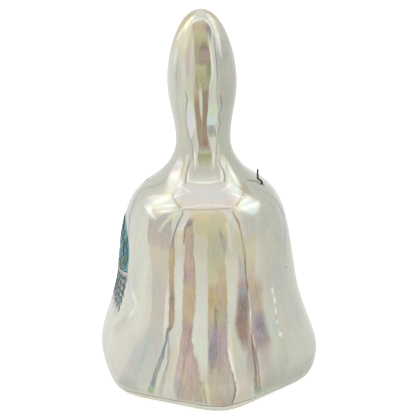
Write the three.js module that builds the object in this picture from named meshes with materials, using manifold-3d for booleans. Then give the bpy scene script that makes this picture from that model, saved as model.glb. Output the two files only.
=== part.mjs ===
// A ceramic hand bell: a slip-cast shell with a bulb handle and a six-sided flared skirt, and a clapper
// that hangs on a wire drawn through two holes in the shoulder. Millimetres, +Z up, the foot on Z = 0.
import * as THREE from "three";
import { mergeVertices } from "three/addons/utils/BufferGeometryUtils.js";
import Module from "manifold-3d";

// Shell outline: radii are the mean of the six sides, and each rise counts from the station below it.
const footRadius = 36; // outer edge of the flat ring that the bell stands on
const footWidth = 1.6; // width of that ring
const lipRound = 1.8; // how far the lip's edge rolls before it turns up
const skirtRadius = 40.5; // widest part of the skirt
const skirtRise = 9;
const flankRadius = 32.7; // where the flare has straightened into the side of the bell
const flankRise = 28.2;
const shoulderRadius = 18.9; // where the shoulder turns in towards the neck
const shoulderRise = 35.1;
const neckRadius = 9.6; // narrowest part of the handle
const neckRise = 15.4;
const gripRadius = 12; // widest part of the handle
const gripRise = 20.5;
const tipRise = 24.8;
const wall = 3.2; // thickness of the fired clay, the same all over

// Six soft corners of the skirt, which fade out towards the shoulder.
const cornerCount = 6;
const cornerTurn = THREE.MathUtils.degToRad(17); // first corner, turned from -Y towards +X
const skirtCorner = 0.95; // how far a corner stands out from the mean radius on the skirt
const footCorner = 1.6; // the same at the foot, where the sides are straighter
const cornerFadeFrom = 20; // height at which the corners start to fade
const cornerFadeRise = 40; // over which they fade away

// Hanger wire, and the clapper that swings on it.
const wireDiameter = 0.65;
const hangerHeight = 70.7; // of the two holes in the shoulder
const hangerDip = 3; // the middle of the wire is bent down this far, so that the clapper stays central
const dipFlat = 7; // straight stretch at the bottom of the dip
const dipRun = 4; // along which each side of the dip slopes
const bendRadius = 0.7; // of every bend in the wire, on its centre line
const tuckLength = 3.7; // of wire laid up the shoulder outside the hole on the +X side
const tailLength = 3.4; // of wire left standing at that end
const cutBack = 0.5; // from the shoulder's face in to the other end, which is cut off in its hole
const eyeBore = 3; // inside the eye at each end of the clapper wire
const eyeNeck = 1; // from the eye to where its wire has come back to the middle
const ballDiameter = 16;
const clapperLift = 6.5; // lowest point of the clapper above the surface that the bell stands on

// Clearances.
const seatGap = 0.3; // between pieces that rest on each other
const holeClearance = 0.45; // round the wire in the shoulder holes
const boreClearance = 0.5; // round the wire in the ball

// Fineness of the facets.
const facetsPerCorner = 8;
const stepsPerStretch = 5;
const bendSteps = 5;
const eyeSteps = 14;
const wireSides = 8;
const ballFacets = 28;
const ballRings = 12;
const mergeDistance = 1e-4;

const wasm = await Module();
wasm.setup();

// A geometry's closed surface as a solid that can be cut.
function solidOf(geometry) {
  geometry.deleteAttribute("normal");
  geometry.deleteAttribute("uv");
  const merged = mergeVertices(geometry, mergeDistance);
  return new wasm.Manifold(
    new wasm.Mesh({
      numProp: 3,
      vertProperties: merged.attributes.position.array,
      triVerts: new Uint32Array(merged.index.array),
    }),
  );
}

function geometryOf(solid) {
  const mesh = solid.getMesh();
  const geometry = new THREE.BufferGeometry();
  geometry.setAttribute("position", new THREE.BufferAttribute(mesh.vertProperties, 3));
  geometry.setIndex(new THREE.BufferAttribute(mesh.triVerts, 1));
  geometry.computeVertexNormals();
  return geometry;
}

// Stations of the outline. A slope is the radius gained per millimetre of height, and a hold is the share of
// the rise on that side over which the outline keeps the slope.
const skirtHeight = skirtRise;
const flankHeight = skirtHeight + flankRise;
const shoulderHeight = flankHeight + shoulderRise;
const neckHeight = shoulderHeight + neckRise;
const gripHeight = neckHeight + gripRise;
const height = gripHeight + tipRise;
const stations = [
  { radius: skirtRadius, height: skirtHeight, slope: 0, holdBelow: 0.45, holdAbove: 0.16 },
  { radius: flankRadius, height: flankHeight, slope: -0.15, holdBelow: 0.46, holdAbove: 0.77 },
  { radius: shoulderRadius, height: shoulderHeight, slope: -1.35, holdBelow: 0.19, holdAbove: 0.26 },
  { radius: neckRadius, height: neckHeight, slope: 0, holdBelow: 0.4, holdAbove: 0.35 },
  { radius: gripRadius, height: gripHeight, slope: 0, holdBelow: 0.38, holdAbove: 0.42 },
];
const [skirt] = stations;
const grip = stations.at(-1);
const tipHold = 0.63; // share of the grip's radius over which the tip stays flat

function curve(...points) {
  return new THREE.CubicBezierCurve(...points.map(([radius, up]) => new THREE.Vector2(radius, up)));
}

// The outline between two stations.
function stretch(from, to) {
  const rise = to.height - from.height;
  const leave = from.holdAbove * rise;
  const reach = to.holdBelow * rise;
  return curve(
    [from.radius, from.height],
    [from.radius + from.slope * leave, from.height + leave],
    [to.radius - to.slope * reach, to.height - reach],
    [to.radius, to.height],
  );
}

const skirtTurn = skirtHeight - skirt.holdBelow * skirtRise;
const lipOutside = curve(
  [footRadius, 0],
  [footRadius + lipRound, 0],
  [skirtRadius, skirtTurn],
  [skirtRadius, skirtHeight],
);
const footInnerRadius = footRadius - footWidth;
const lipInside = curve(
  [skirtRadius - wall, skirtHeight],
  [skirtRadius - wall, skirtTurn],
  [footInnerRadius - lipRound, 0],
  [footInnerRadius, 0],
);
const tip = curve(
  [gripRadius, gripHeight],
  [gripRadius, gripHeight + grip.holdAbove * tipRise],
  [tipHold * gripRadius, height],
  [0, height],
);
const sides = [...stations.slice(1).map((to, i) => stretch(stations[i], to)), tip];

// Even samples of a chain of curves, each with the point that lies one wall deeper in the clay.
function sample(curves) {
  const shares = Array.from({ length: stepsPerStretch }, (_, i) => (i + 1) / stepsPerStretch);
  return curves.flatMap((part) =>
    shares.map((share) => {
      const outside = part.getPoint(share);
      const along = part.getTangent(share);
      return { outside, inside: new THREE.Vector2(outside.x - wall * along.y, outside.y + wall * along.x) };
    }),
  );
}

const sideSamples = sample(sides);
const lipOutsidePoints = lipOutside.getPoints(stepsPerStretch);
const lipInsidePoints = lipInside.getPoints(stepsPerStretch);
const outline = [...lipOutsidePoints, ...sideSamples.map(({ outside }) => outside)];
const hollow = [...sideSamples.map(({ inside }) => inside).reverse(), ...lipInsidePoints];
for (const end of [outline.at(-1), hollow[0]]) end.x = 0;

// How far a corner stands out at a height.
function cornerReach(up) {
  const faded = THREE.MathUtils.smoothstep(up, cornerFadeFrom, cornerFadeFrom + cornerFadeRise);
  const lifted = THREE.MathUtils.smoothstep(up, 0, skirtHeight);
  return skirtCorner * (1 - faded) + (footCorner - skirtCorner) * (1 - lifted);
}

// The corners' wave round the axis, at an angle counted from -Y towards +X. Its overtone tightens the corners.
const overtone = 0.11;
function cornerWave(angle) {
  const phase = cornerCount * (angle - cornerTurn);
  return Math.cos(phase) + overtone * Math.cos(2 * phase);
}

function shellGeometry() {
  const geometry = new THREE.LatheGeometry([...hollow, ...outline], cornerCount * facetsPerCorner);
  geometry.rotateX(Math.PI / 2);
  const position = geometry.attributes.position;
  for (let i = 0; i < position.count; i++) {
    const x = position.getX(i);
    const y = position.getY(i);
    const radius = Math.hypot(x, y);
    if (radius < mergeDistance) continue;
    const grown = 1 + (cornerReach(position.getZ(i)) * cornerWave(Math.atan2(x, -y))) / radius;
    position.setXY(i, x * grown, y * grown);
  }
  return geometry;
}

// The outline's radius and slope at a height, where the hanger comes out on the X axis.
function surfaceAt(up) {
  const above = outline.findIndex((point) => point.y > up);
  const [low, high] = [outline[above - 1], outline[above]];
  const share = (up - low.y) / (high.y - low.y);
  const slope = (high.x - low.x) / (high.y - low.y);
  const corner = cornerReach(up) * Math.max(cornerWave(Math.PI / 2), cornerWave(-Math.PI / 2));
  return { radius: low.x + share * (high.x - low.x) + corner, slope };
}

const wireRadius = wireDiameter / 2;
const holeRadius = wireRadius + holeClearance;

function bellBody() {
  const drill = new THREE.CylinderGeometry(holeRadius, holeRadius, 3 * skirtRadius, wireSides * 2);
  drill.rotateZ(Math.PI / 2).translate(0, 0, hangerHeight);
  return geometryOf(solidOf(shellGeometry()).subtract(solidOf(drill)));
}

// A path that is sampled at its own points, so that a straight run takes one step and a bend takes several.
class WirePath extends THREE.CatmullRomCurve3 {
  getPointAt(share, target) {
    return this.getPoint(share, target);
  }

  getTangentAt(share, target) {
    return this.getTangent(share, target);
  }
}

function wire(points) {
  const section = new THREE.Shape().absarc(0, 0, wireRadius, 0, 2 * Math.PI);
  return new THREE.ExtrudeGeometry(section, {
    steps: points.length - 1,
    curveSegments: wireSides / 2,
    extrudePath: new WirePath(points),
  });
}

// The run of a bent wire through its corners, with an arc at each of them.
function bentRun(corners) {
  const inner = corners.slice(1, -1).flatMap((corner, i) => {
    const arrive = corner.clone().sub(corners[i]).normalize();
    const leave = corners[i + 2].clone().sub(corner).normalize();
    const half = arrive.angleTo(leave) / 2;
    const inwards = leave.clone().sub(arrive).normalize();
    const onwards = leave.clone().add(arrive).normalize();
    const centre = corner.clone().addScaledVector(inwards, bendRadius / Math.cos(half));
    return Array.from({ length: bendSteps + 1 }, (_, step) => {
      const turn = half * ((2 * step) / bendSteps - 1);
      return centre
        .clone()
        .addScaledVector(inwards, -bendRadius * Math.cos(turn))
        .addScaledVector(onwards, bendRadius * Math.sin(turn));
    });
  });
  return [corners[0], ...inner, corners.at(-1)];
}

const pivotHeight = hangerHeight - hangerDip;

function hangerWire() {
  const { radius, slope } = surfaceAt(hangerHeight);
  const along = new THREE.Vector3(slope, 0, 1).normalize();
  const exit = new THREE.Vector3(radius + (wireRadius + seatGap) / along.z, 0, hangerHeight);
  const tuck = exit.clone().addScaledVector(along, tuckLength);
  const tail = tuck.clone().add(new THREE.Vector3(0, 0, tailLength));
  const half = [
    new THREE.Vector3(dipFlat / 2, 0, pivotHeight),
    new THREE.Vector3(dipFlat / 2 + dipRun, 0, hangerHeight),
    exit,
  ];
  const mirrored = half.slice(0, 2).map(({ x, y, z }) => new THREE.Vector3(-x, y, z)).reverse();
  const cutEnd = new THREE.Vector3(cutBack - radius, 0, hangerHeight);
  return wire(bentRun([cutEnd, ...mirrored, ...half, tuck, tail]));
}

const eyeRadius = eyeBore / 2 + wireRadius;
const eyeFrom = THREE.MathUtils.degToRad(40); // where the wire joins its eye, turned from the stem's side
const eyeTo = THREE.MathUtils.degToRad(330); // where the cut end of the eye stops, short of the stem

// The points of an eye in the swing's plane, from the stem to the cut end. Its stem lies below it when
// side is 1 and above it when side is -1.
function eye(centreHeight, side) {
  const neck = new THREE.Vector3(0, 0, centreHeight - side * (eyeRadius + eyeNeck));
  const round = Array.from({ length: eyeSteps + 1 }, (_, step) => {
    const turn = THREE.MathUtils.lerp(eyeFrom, eyeTo, step / eyeSteps);
    const up = centreHeight - side * eyeRadius * Math.cos(turn);
    return new THREE.Vector3(0, eyeRadius * Math.sin(turn), up);
  });
  return [neck, ...round];
}

const ballRadius = ballDiameter / 2;
const ballBoreRadius = wireRadius + boreClearance;
const ballHalfBore = Math.sqrt(ballRadius ** 2 - ballBoreRadius ** 2);
const lowerEyeHeight = clapperLift + wireRadius + eyeRadius;
const upperEyeHeight = pivotHeight - (eyeBore / 2 - wireRadius - seatGap);
const ballHeight = lowerEyeHeight + eyeRadius + eyeNeck + ballHalfBore;

function clapperWire() {
  return wire([...eye(lowerEyeHeight, -1).reverse(), ...eye(upperEyeHeight, 1)]);
}

function clapperBall() {
  const start = Math.asin(ballBoreRadius / ballRadius);
  const arc = Array.from({ length: ballRings + 1 }, (_, ring) => {
    const turn = THREE.MathUtils.lerp(start, Math.PI - start, ring / ballRings);
    return new THREE.Vector2(ballRadius * Math.sin(turn), -ballRadius * Math.cos(turn));
  });
  return new THREE.LatheGeometry([...arc, arc[0]], ballFacets).rotateX(Math.PI / 2);
}

function piece(name, geometry, material) {
  const mesh = new THREE.Mesh(geometry, material);
  mesh.name = name;
  return mesh;
}

const lustreGlaze = new THREE.MeshStandardMaterial({ color: 0xd8d8cc, roughness: 0.15, metalness: 0.1 });
const plainGlaze = new THREE.MeshStandardMaterial({ color: 0xe9e5da, roughness: 0.2, metalness: 0 });
const darkWire = new THREE.MeshStandardMaterial({ color: 0x2b2722, roughness: 0.55, metalness: 0.9 });

const bell = new THREE.Group();
bell.add(piece("bell_body", bellBody(), lustreGlaze));
bell.add(piece("hanger_wire", hangerWire(), darkWire));

const clapper = new THREE.Group();
clapper.add(piece("clapper_wire", clapperWire(), darkWire));
const ball = piece("clapper_ball", clapperBall(), plainGlaze);
ball.position.z = ballHeight;
clapper.add(ball);
bell.add(clapper);

export default bell;
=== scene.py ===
"""Dresses the ceramic hand bell: pearl lustre, flower print, hanger, clapper, and a small studio.

Metres, +Z up, the foot on Z = 0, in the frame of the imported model. Angles round the bell count from -Y
towards +X, in degrees where a name says so.
"""

import logging
import math
from collections.abc import Callable, Mapping, Sequence
from dataclasses import dataclass
from enum import Enum
from functools import cache

import bpy
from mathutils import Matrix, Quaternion, Vector
from mathutils.geometry import interpolate_bezier


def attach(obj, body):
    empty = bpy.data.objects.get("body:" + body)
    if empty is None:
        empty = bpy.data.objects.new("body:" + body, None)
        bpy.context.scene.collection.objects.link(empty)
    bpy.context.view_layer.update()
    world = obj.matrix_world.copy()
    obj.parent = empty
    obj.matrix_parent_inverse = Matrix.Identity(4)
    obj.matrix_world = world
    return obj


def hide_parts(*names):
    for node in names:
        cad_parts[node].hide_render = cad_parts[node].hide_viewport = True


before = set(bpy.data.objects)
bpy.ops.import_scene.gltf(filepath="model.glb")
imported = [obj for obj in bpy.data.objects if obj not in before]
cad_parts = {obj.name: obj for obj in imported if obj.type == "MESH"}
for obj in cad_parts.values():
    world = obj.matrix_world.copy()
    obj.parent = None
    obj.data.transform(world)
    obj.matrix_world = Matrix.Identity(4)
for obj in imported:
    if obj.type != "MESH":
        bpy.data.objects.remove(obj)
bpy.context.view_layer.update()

MM = 0.001
MERGE_DISTANCE = 1e-7
# The brushed streaks and the painted highlights and reflections are all laid out from this front
FRONT_AZIMUTH = 9.5  # the brushed front of the lustre, in degrees from -Y towards +X
FRONT_TURN = math.radians(FRONT_AZIMUTH)
USUAL_COVER = 0.85  # how much of the glaze a band of film covers
LOG = logging.getLogger("bell")

Socket = bpy.types.NodeSocket
Piece = bpy.types.Object
Colour = tuple[float, float, float, float]
Shade = tuple[int, int, int]  # red, green and blue as a display shows them, from 0 to 255
Flat = tuple[float, float]
Spine = Callable[[float], Vector]  # the place on the unrolled print for a share of a shape's length
Width = Callable[[float], float]  # half the shape's width there


def display(red: int, green: int, blue: int) -> Colour:
    """Turns a display colour into the linear one that shaders take.

    Args:
        red: Red from 0 to 255.
        green: Green from 0 to 255.
        blue: Blue from 0 to 255.

    Returns:
        The linear colour with full alpha.
    """
    shares = [channel / 255 for channel in (red, green, blue)]
    linear = [s / 12.92 if s <= 0.04045 else ((s + 0.055) / 1.055) ** 2.4 for s in shares]
    return (*linear, 1.0)


def smoothstep(value: float, low: float, high: float) -> float:
    """Eases from 0 at low to 1 at high.

    Args:
        value: Where to read the curve.
        low: Where the curve leaves 0.
        high: Where the curve reaches 1.

    Returns:
        The eased share.
    """
    share = min(1.0, max(0.0, (value - low) / (high - low)))
    return share * share * (3 - 2 * share)


def heading_of(azimuth: float, elevation: float) -> Vector:
    """Gives the direction from the bell to something that stands round it.

    Args:
        azimuth: Angle from -Y towards +X, in degrees.
        elevation: Angle above the floor, in degrees.

    Returns:
        A unit vector away from the bell.
    """
    turn, rise = math.radians(azimuth), math.radians(elevation)
    return Vector((math.cos(rise) * math.sin(turn), -math.cos(rise) * math.cos(turn), math.sin(rise)))


class Signal:
    """A socket that carries a number, so that shader maths reads as Python."""

    def __init__(self, recipe: "Recipe", socket: Socket) -> None:
        """Keeps the recipe that adds nodes, and the socket that gives the number."""
        self.recipe = recipe
        self.socket = socket

    def math(self, operation: str, *operands: "Operand") -> "Signal":
        """Adds one Math node.

        Args:
            operation: The Math node's operation.
            operands: Its inputs in order, each a signal or a number.

        Returns:
            The node's result.
        """
        node = self.recipe.node("ShaderNodeMath", {"operation": operation}, dict(enumerate(operands)))
        return Signal(self.recipe, node.outputs[0])

    def __add__(self, other: "Operand") -> "Signal":
        """Adds."""
        return self.math("ADD", self, other)

    def __sub__(self, other: "Operand") -> "Signal":
        """Subtracts the other."""
        return self.math("SUBTRACT", self, other)

    def __rsub__(self, other: "Operand") -> "Signal":
        """Is subtracted from the other."""
        return self.math("SUBTRACT", other, self)

    def __mul__(self, other: "Operand") -> "Signal":
        """Multiplies."""
        return self.math("MULTIPLY", self, other)

    def __truediv__(self, other: "Operand") -> "Signal":
        """Divides by the other."""
        return self.math("DIVIDE", self, other)

    def __pow__(self, other: "Operand") -> "Signal":
        """Raises to a power."""
        return self.math("POWER", self, other)

    def __abs__(self) -> "Signal":
        """Drops the sign."""
        return self.math("ABSOLUTE", self)

    __radd__ = __add__
    __rmul__ = __mul__

    def degrees_from(self, other: "Signal") -> "Signal":
        """Gives the angle whose tangent is this over the other, in degrees."""
        return self.math("ARCTAN2", self, other) * math.degrees(1)

    def hypot(self, other: "Signal") -> "Signal":
        """Gives the length of the diagonal over this and the other."""
        return (self * self + other * other) ** 0.5

    def share(self, low: float, high: float) -> "Signal":
        """Runs evenly from 0 at low to 1 at high, and stops there."""
        inputs = {"Value": self, "From Min": low, "From Max": high}
        return Signal(self.recipe, self.recipe.node("ShaderNodeMapRange", inputs=inputs).outputs["Result"])

    def eased(self, low: "Operand", high: "Operand") -> "Signal":
        """Eases from 0 at low to 1 at high, or the other way round where low is the larger.

        Args:
            low: Where the result is 0.
            high: Where the result is 1.

        Returns:
            The eased share, from 0 to 1.
        """
        node = self.recipe.node(
            "ShaderNodeMapRange",
            {"interpolation_type": "SMOOTHSTEP"},
            {"Value": self, "From Min": low, "From Max": high},
        )
        return Signal(self.recipe, node.outputs["Result"])


Operand = Signal | float


class Recipe:
    """The nodes of a material or of the room, added by expressions."""

    MIX_FACTOR, MIX_A, MIX_B, MIX_COLOUR = 0, 6, 7, 2

    def __init__(self, owner: "NodeOwner") -> None:
        """Starts with an empty node tree.

        Args:
            owner: The material, room or group that the nodes belong to.
        """
        self.owner = owner
        if isinstance(owner, bpy.types.NodeTree):
            self.tree = owner
        else:
            owner.use_nodes = True
            self.tree = owner.node_tree
        self.tree.nodes.clear()

    @classmethod
    def material(cls, name: str) -> "Recipe":
        """Starts an empty material of that name."""
        return cls(bpy.data.materials.new(name))

    @classmethod
    def group(cls, name: str, inputs: Mapping[str, str]) -> "Recipe":
        """Starts an empty group of nodes that gives a colour.

        Args:
            name: The group's name.
            inputs: The names of its inputs, each with its type of socket.

        Returns:
            The recipe that fills the group.
        """
        tree = bpy.data.node_groups.new(name, "ShaderNodeTree")
        for socket, kind in inputs.items():
            tree.interface.new_socket(socket, in_out="INPUT", socket_type=kind)
        tree.interface.new_socket("Colour", in_out="OUTPUT", socket_type="NodeSocketColor")
        return cls(tree)

    def node(
        self, kind: str, settings: Mapping[str, object] | None = None, inputs: Mapping | None = None
    ) -> bpy.types.Node:
        """Adds a node.

        Args:
            kind: The node's type.
            settings: Its properties, set first. "stops" fills a colour ramp with places and colours.
            inputs: Values, signals or sockets for its inputs, by name or number.

        Returns:
            The new node.
        """
        made = self.tree.nodes.new(kind)
        for key, value in (settings or {}).items():
            if key == "stops":
                self._fill_ramp(made.color_ramp, value)
            else:
                setattr(made, key, value)
        for key, value in (inputs or {}).items():
            source = value.socket if isinstance(value, Signal) else value
            if isinstance(source, Socket):
                self.tree.links.new(source, made.inputs[key])
            else:
                made.inputs[key].default_value = source
        return made

    @staticmethod
    def _fill_ramp(ramp: bpy.types.ColorRamp, stops: Sequence[tuple[float, Colour]]) -> None:
        """Gives a colour ramp its stops.

        Args:
            ramp: The ramp.
            stops: Places from 0 to 1, each with its colour.
        """
        while len(ramp.elements) < len(stops):
            ramp.elements.new(1.0)
        for element, (place, colour) in zip(ramp.elements, stops):
            element.position = place
            element.color = colour

    def number(self, node: bpy.types.Node, output: str) -> Signal:
        """Wraps a node's output as a number."""
        return Signal(self, node.outputs[output])

    def seen(self) -> Signal:
        """Gives 1 where the camera looks straight at a place, and 0 in the light that it gives."""
        return self.number(self.node("ShaderNodeLightPath"), "Is Camera Ray")

    def point(self, kind: str = "Object") -> Socket:
        """Gives the place on the piece in metres, or in the room the direction, which is Generated."""
        return self.node("ShaderNodeTexCoord").outputs[kind]

    def turned_point(self, turn: float, kind: str = "Object") -> Socket:
        """Gives the place or direction turned about Z.

        Args:
            turn: The angle, in radians.
            kind: Object for a place on the piece, or Generated for a direction in the room.

        Returns:
            The turned place.
        """
        inputs = {"Vector": self.point(kind), "Rotation": (0.0, 0.0, turn)}
        return self.node("ShaderNodeMapping", {"vector_type": "POINT"}, inputs).outputs["Vector"]

    def split(self, vector: Socket) -> tuple[Signal, Signal, Signal]:
        """Splits a vector into its three numbers."""
        parts = self.node("ShaderNodeSeparateXYZ", inputs={0: vector})
        return tuple(Signal(self, output) for output in parts.outputs)

    def channels(self, colour: Socket) -> tuple[Signal, Signal, Signal]:
        """Splits a colour into its three numbers."""
        parts = self.node("ShaderNodeSeparateColor", inputs={0: colour})
        return tuple(Signal(self, output) for output in parts.outputs)

    def join(self, x: Operand, y: Operand, z: Operand) -> Socket:
        """Joins three numbers into a vector."""
        return self.node("ShaderNodeCombineXYZ", inputs={0: x, 1: y, 2: z}).outputs[0]

    def noise(self, place: Socket, scale: float, detail: float = 2.0, rough: float = 0.5) -> Signal:
        """Adds a noise texture.

        Args:
            place: Where to read it.
            scale: Its cycles per unit of the place.
            detail: Its octaves.
            rough: How strong each finer octave is.

        Returns:
            The noise, from 0 to 1.
        """
        inputs = {"Vector": place, "Scale": scale, "Detail": detail, "Roughness": rough}
        return self.number(self.node("ShaderNodeTexNoise", inputs=inputs), "Fac")

    def mix(self, share: Operand, start: "Paint", end: "Paint", blend: str = "MIX") -> Socket:
        """Mixes two colours.

        Args:
            share: How much of the second shows.
            start: The first colour.
            end: The second colour.
            blend: The blend mode.

        Returns:
            The mixed colour.
        """
        inputs = {self.MIX_FACTOR: share, self.MIX_A: start, self.MIX_B: end}
        settings = {"data_type": "RGBA", "blend_type": blend}
        return self.node("ShaderNodeMix", settings, inputs).outputs[self.MIX_COLOUR]

    def ramp(self, share: Signal, stops: Sequence[tuple[float, Colour]]) -> bpy.types.Node:
        """Colours a number by a ramp.

        Args:
            share: The number, from 0 to 1.
            stops: The ramp's places and colours.

        Returns:
            The ramp's node, with its outputs Color and Alpha.
        """
        return self.node("ShaderNodeValToRGB", {"stops": stops}, {"Fac": share})

    def bump(self, height: Signal, distance: float, strength: float = 1.0) -> Socket:
        """Adds a bump.

        Args:
            height: The relief, from 0 to 1.
            distance: What a relief of 1 stands for, in metres.
            strength: How much of it shows.

        Returns:
            The bent normal.
        """
        inputs = {"Height": height, "Distance": distance, "Strength": strength}
        return self.node("ShaderNodeBump", inputs=inputs).outputs["Normal"]

    def principled(self, inputs: Mapping) -> Socket:
        """Adds the main shader with these inputs."""
        return self.node("ShaderNodeBsdfPrincipled", inputs=inputs).outputs["BSDF"]

    def blend(self, share: Operand, start: Socket, end: Socket) -> Socket:
        """Mixes two shaders.

        Args:
            share: How much of the second shows.
            start: The first shader.
            end: The second shader.

        Returns:
            The mixed shader.
        """
        return self.node("ShaderNodeMixShader", inputs={0: share, 1: start, 2: end}).outputs[0]

    def finished(self, shader: Socket) -> bpy.types.Material:
        """Connects the shader to the output and hands the material over."""
        self.node("ShaderNodeOutputMaterial", inputs={"Surface": shader})
        return self.owner


Paint = Socket | Signal | Colour
NodeOwner = bpy.types.Material | bpy.types.World | bpy.types.NodeTree


class Hue(Enum):
    """Colours of the glaze and of the thin metal film on it, as seen on the bell. WHITE, BUTTER, SKY, BLOOM,
    MINT, SHELL and VEIL are painted highlights and reflections, CHALK also paints highlights, and STONE,
    PEWTER, MIST and SLATE also paint shade and dark reflections.
    """

    PEARL = display(221, 223, 213)
    CREAM = display(213, 212, 195)
    CHALK = display(234, 236, 224)
    MIST = display(198, 198, 195)
    SAND = display(205, 195, 177)
    SHELL = display(236, 228, 225)
    VEIL = display(228, 227, 230)
    BLOOM = display(244, 232, 240)
    MINT = display(214, 230, 198)
    LIP = display(240, 236, 220)
    BUTTER = display(240, 233, 200)
    SKY = display(214, 232, 231)
    STONE = display(166, 168, 156)
    WHITE = display(255, 255, 250)
    STRAW = display(205, 198, 158)
    AMBER = display(214, 190, 142)
    HEATHER = display(191, 178, 175)
    PEWTER = display(172, 170, 169)
    ROSE = display(188, 164, 145)
    TAN = display(192, 171, 137)
    BLUSH = display(187, 164, 155)
    MAUVE = display(168, 144, 145)
    LILAC = display(186, 180, 192)
    LAVENDER = display(177, 157, 170)
    OLIVE = display(190, 189, 148)
    SAGE = display(181, 189, 161)
    GOLD = display(184, 164, 104)
    BRASS = display(187, 165, 118)
    COPPER = display(174, 140, 104)
    RUST = display(146, 120, 92)
    UMBER = display(130, 95, 88)
    PLUM = display(112, 90, 102)
    VIOLET = display(108, 97, 132)
    INDIGO = display(94, 90, 122)
    SLATE = display(129, 135, 157)
    TEAL = display(100, 132, 152)
    LEAF = display(152, 184, 138)
    FERN = display(120, 148, 100)
    MOSS = display(160, 158, 112)
    PINHOLE = display(62, 54, 46)


@dataclass(frozen=True)
class Mark:
    """A level that a band of film or painted light passes: its height in millimetres, and its two edges in
    degrees.
    """

    height: float
    left: float
    right: float
    colour: Hue
    cover: float


@dataclass(frozen=True)
class Band:
    """One run of film or of painted light (highlight, reflection or shade) down the bell, through marks that
    are listed from the foot up.
    """

    marks: tuple[Mark, ...]
    edge: float = 0.6  # half the soft stretch along its two sides, in degrees
    fade: float = 1.5  # the soft stretch past its lowest and highest mark, in millimetres
    dots: float = 0.0  # how far apart its dots are in degrees, or 0 for an unbroken band

    HALF_TURN = 180.0  # the span of angles that an edge may take, from -90 to 90 degrees
    WAVER = 2.0  # how far past its ends a band may still show, in millimetres
    DOT_EDGE, DOT_CORE = 0.12, 0.3  # where a dot starts and is whole, as shares of the step
    INPUTS = {"Under": "NodeSocketColor", "Turn": "NodeSocketFloat", "Height": "NodeSocketFloat"}

    def lay(self, recipe: Recipe, under: "Paint", turn: Signal, height: Signal) -> Socket:
        """Lays the band over what is there.

        Args:
            recipe: The material.
            under: The colour so far.
            turn: Angle round the bell as a share of the half turn, 0.5 at the brushed front.
            height: Height above the floor, in millimetres.

        Returns:
            The colour with the band.
        """
        inputs = {"Under": under, "Turn": turn, "Height": height}
        return recipe.node("ShaderNodeGroup", {"node_tree": self._group()}, inputs).outputs["Colour"]

    def reaches(self, low: float, high: float) -> bool:
        """Tells whether the band passes between two heights in millimetres, or very near."""
        spare = self.fade + self.WAVER
        return self.marks[0].height - spare < high and self.marks[-1].height + spare > low

    @cache
    def _group(self) -> bpy.types.NodeTree:
        """Builds the band as a group of its own, because a small tree fills much faster than the material's.

        Returns:
            The group.
        """
        recipe = Recipe.group("film_and_light_band", self.INPUTS)
        entry = recipe.node("NodeGroupInput")
        low, high = self.marks[0].height - self.fade, self.marks[-1].height + self.fade
        share = recipe.number(entry, "Height").share(low, high)
        places = [(mark.height - low) / (high - low) for mark in self.marks]
        hue = recipe.ramp(share, [(place, mark.colour.value) for place, mark in zip(places, self.marks)])
        spans = [(place, self._span(mark, mark.cover)) for place, mark in zip(places, self.marks)]
        ends = (0.0, self._span(self.marks[0], 0.0)), (1.0, self._span(self.marks[-1], 0.0))
        span = recipe.ramp(share, [ends[0], *spans, ends[1]])
        middle, outer, inner = recipe.channels(span.outputs["Color"])
        turn = recipe.number(entry, "Turn")
        factor = abs(turn - middle).eased(outer, inner) * recipe.number(span, "Alpha")
        if self.dots:
            step = self.dots / self.HALF_TURN
            along = turn.math("PINGPONG", turn, step / 2)
            factor = factor * along.eased(step * self.DOT_EDGE, step * self.DOT_CORE)
        laid = recipe.mix(factor, entry.outputs["Under"], hue.outputs["Color"])
        recipe.node("NodeGroupOutput", inputs={"Colour": laid})
        return recipe.owner

    def _span(self, mark: Mark, cover: float) -> Colour:
        """Packs where a mark's film lies into a colour.

        Args:
            mark: The mark.
            cover: How much the band covers there.

        Returns:
            The middle, and how far from it the film ends and is whole, as shares of the half turn. The cover
            is the alpha.
        """
        middle = (mark.left + mark.right) / 2 / self.HALF_TURN + 0.5
        half = (mark.right - mark.left) / 2
        outer, inner = half + self.edge, max(0.0, half - self.edge)
        return (middle, outer / self.HALF_TURN, inner / self.HALF_TURN, cover)


def band(*marks: tuple, **settings: float) -> Band:
    """Makes a band from plain marks.

    Args:
        marks: Height, left edge and right edge, then the colour and the cover where they change.
        settings: Any of the band's edge, fade and dots.

    Returns:
        The band.
    """
    filled = []
    cover = USUAL_COVER
    for height, left, right, *changes in marks:
        for change in changes:
            if isinstance(change, Hue):
                hue = change
            else:
                cover = change
        filled.append(Mark(height, left, right, hue, cover))
    return Band(tuple(filled), **settings)
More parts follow.
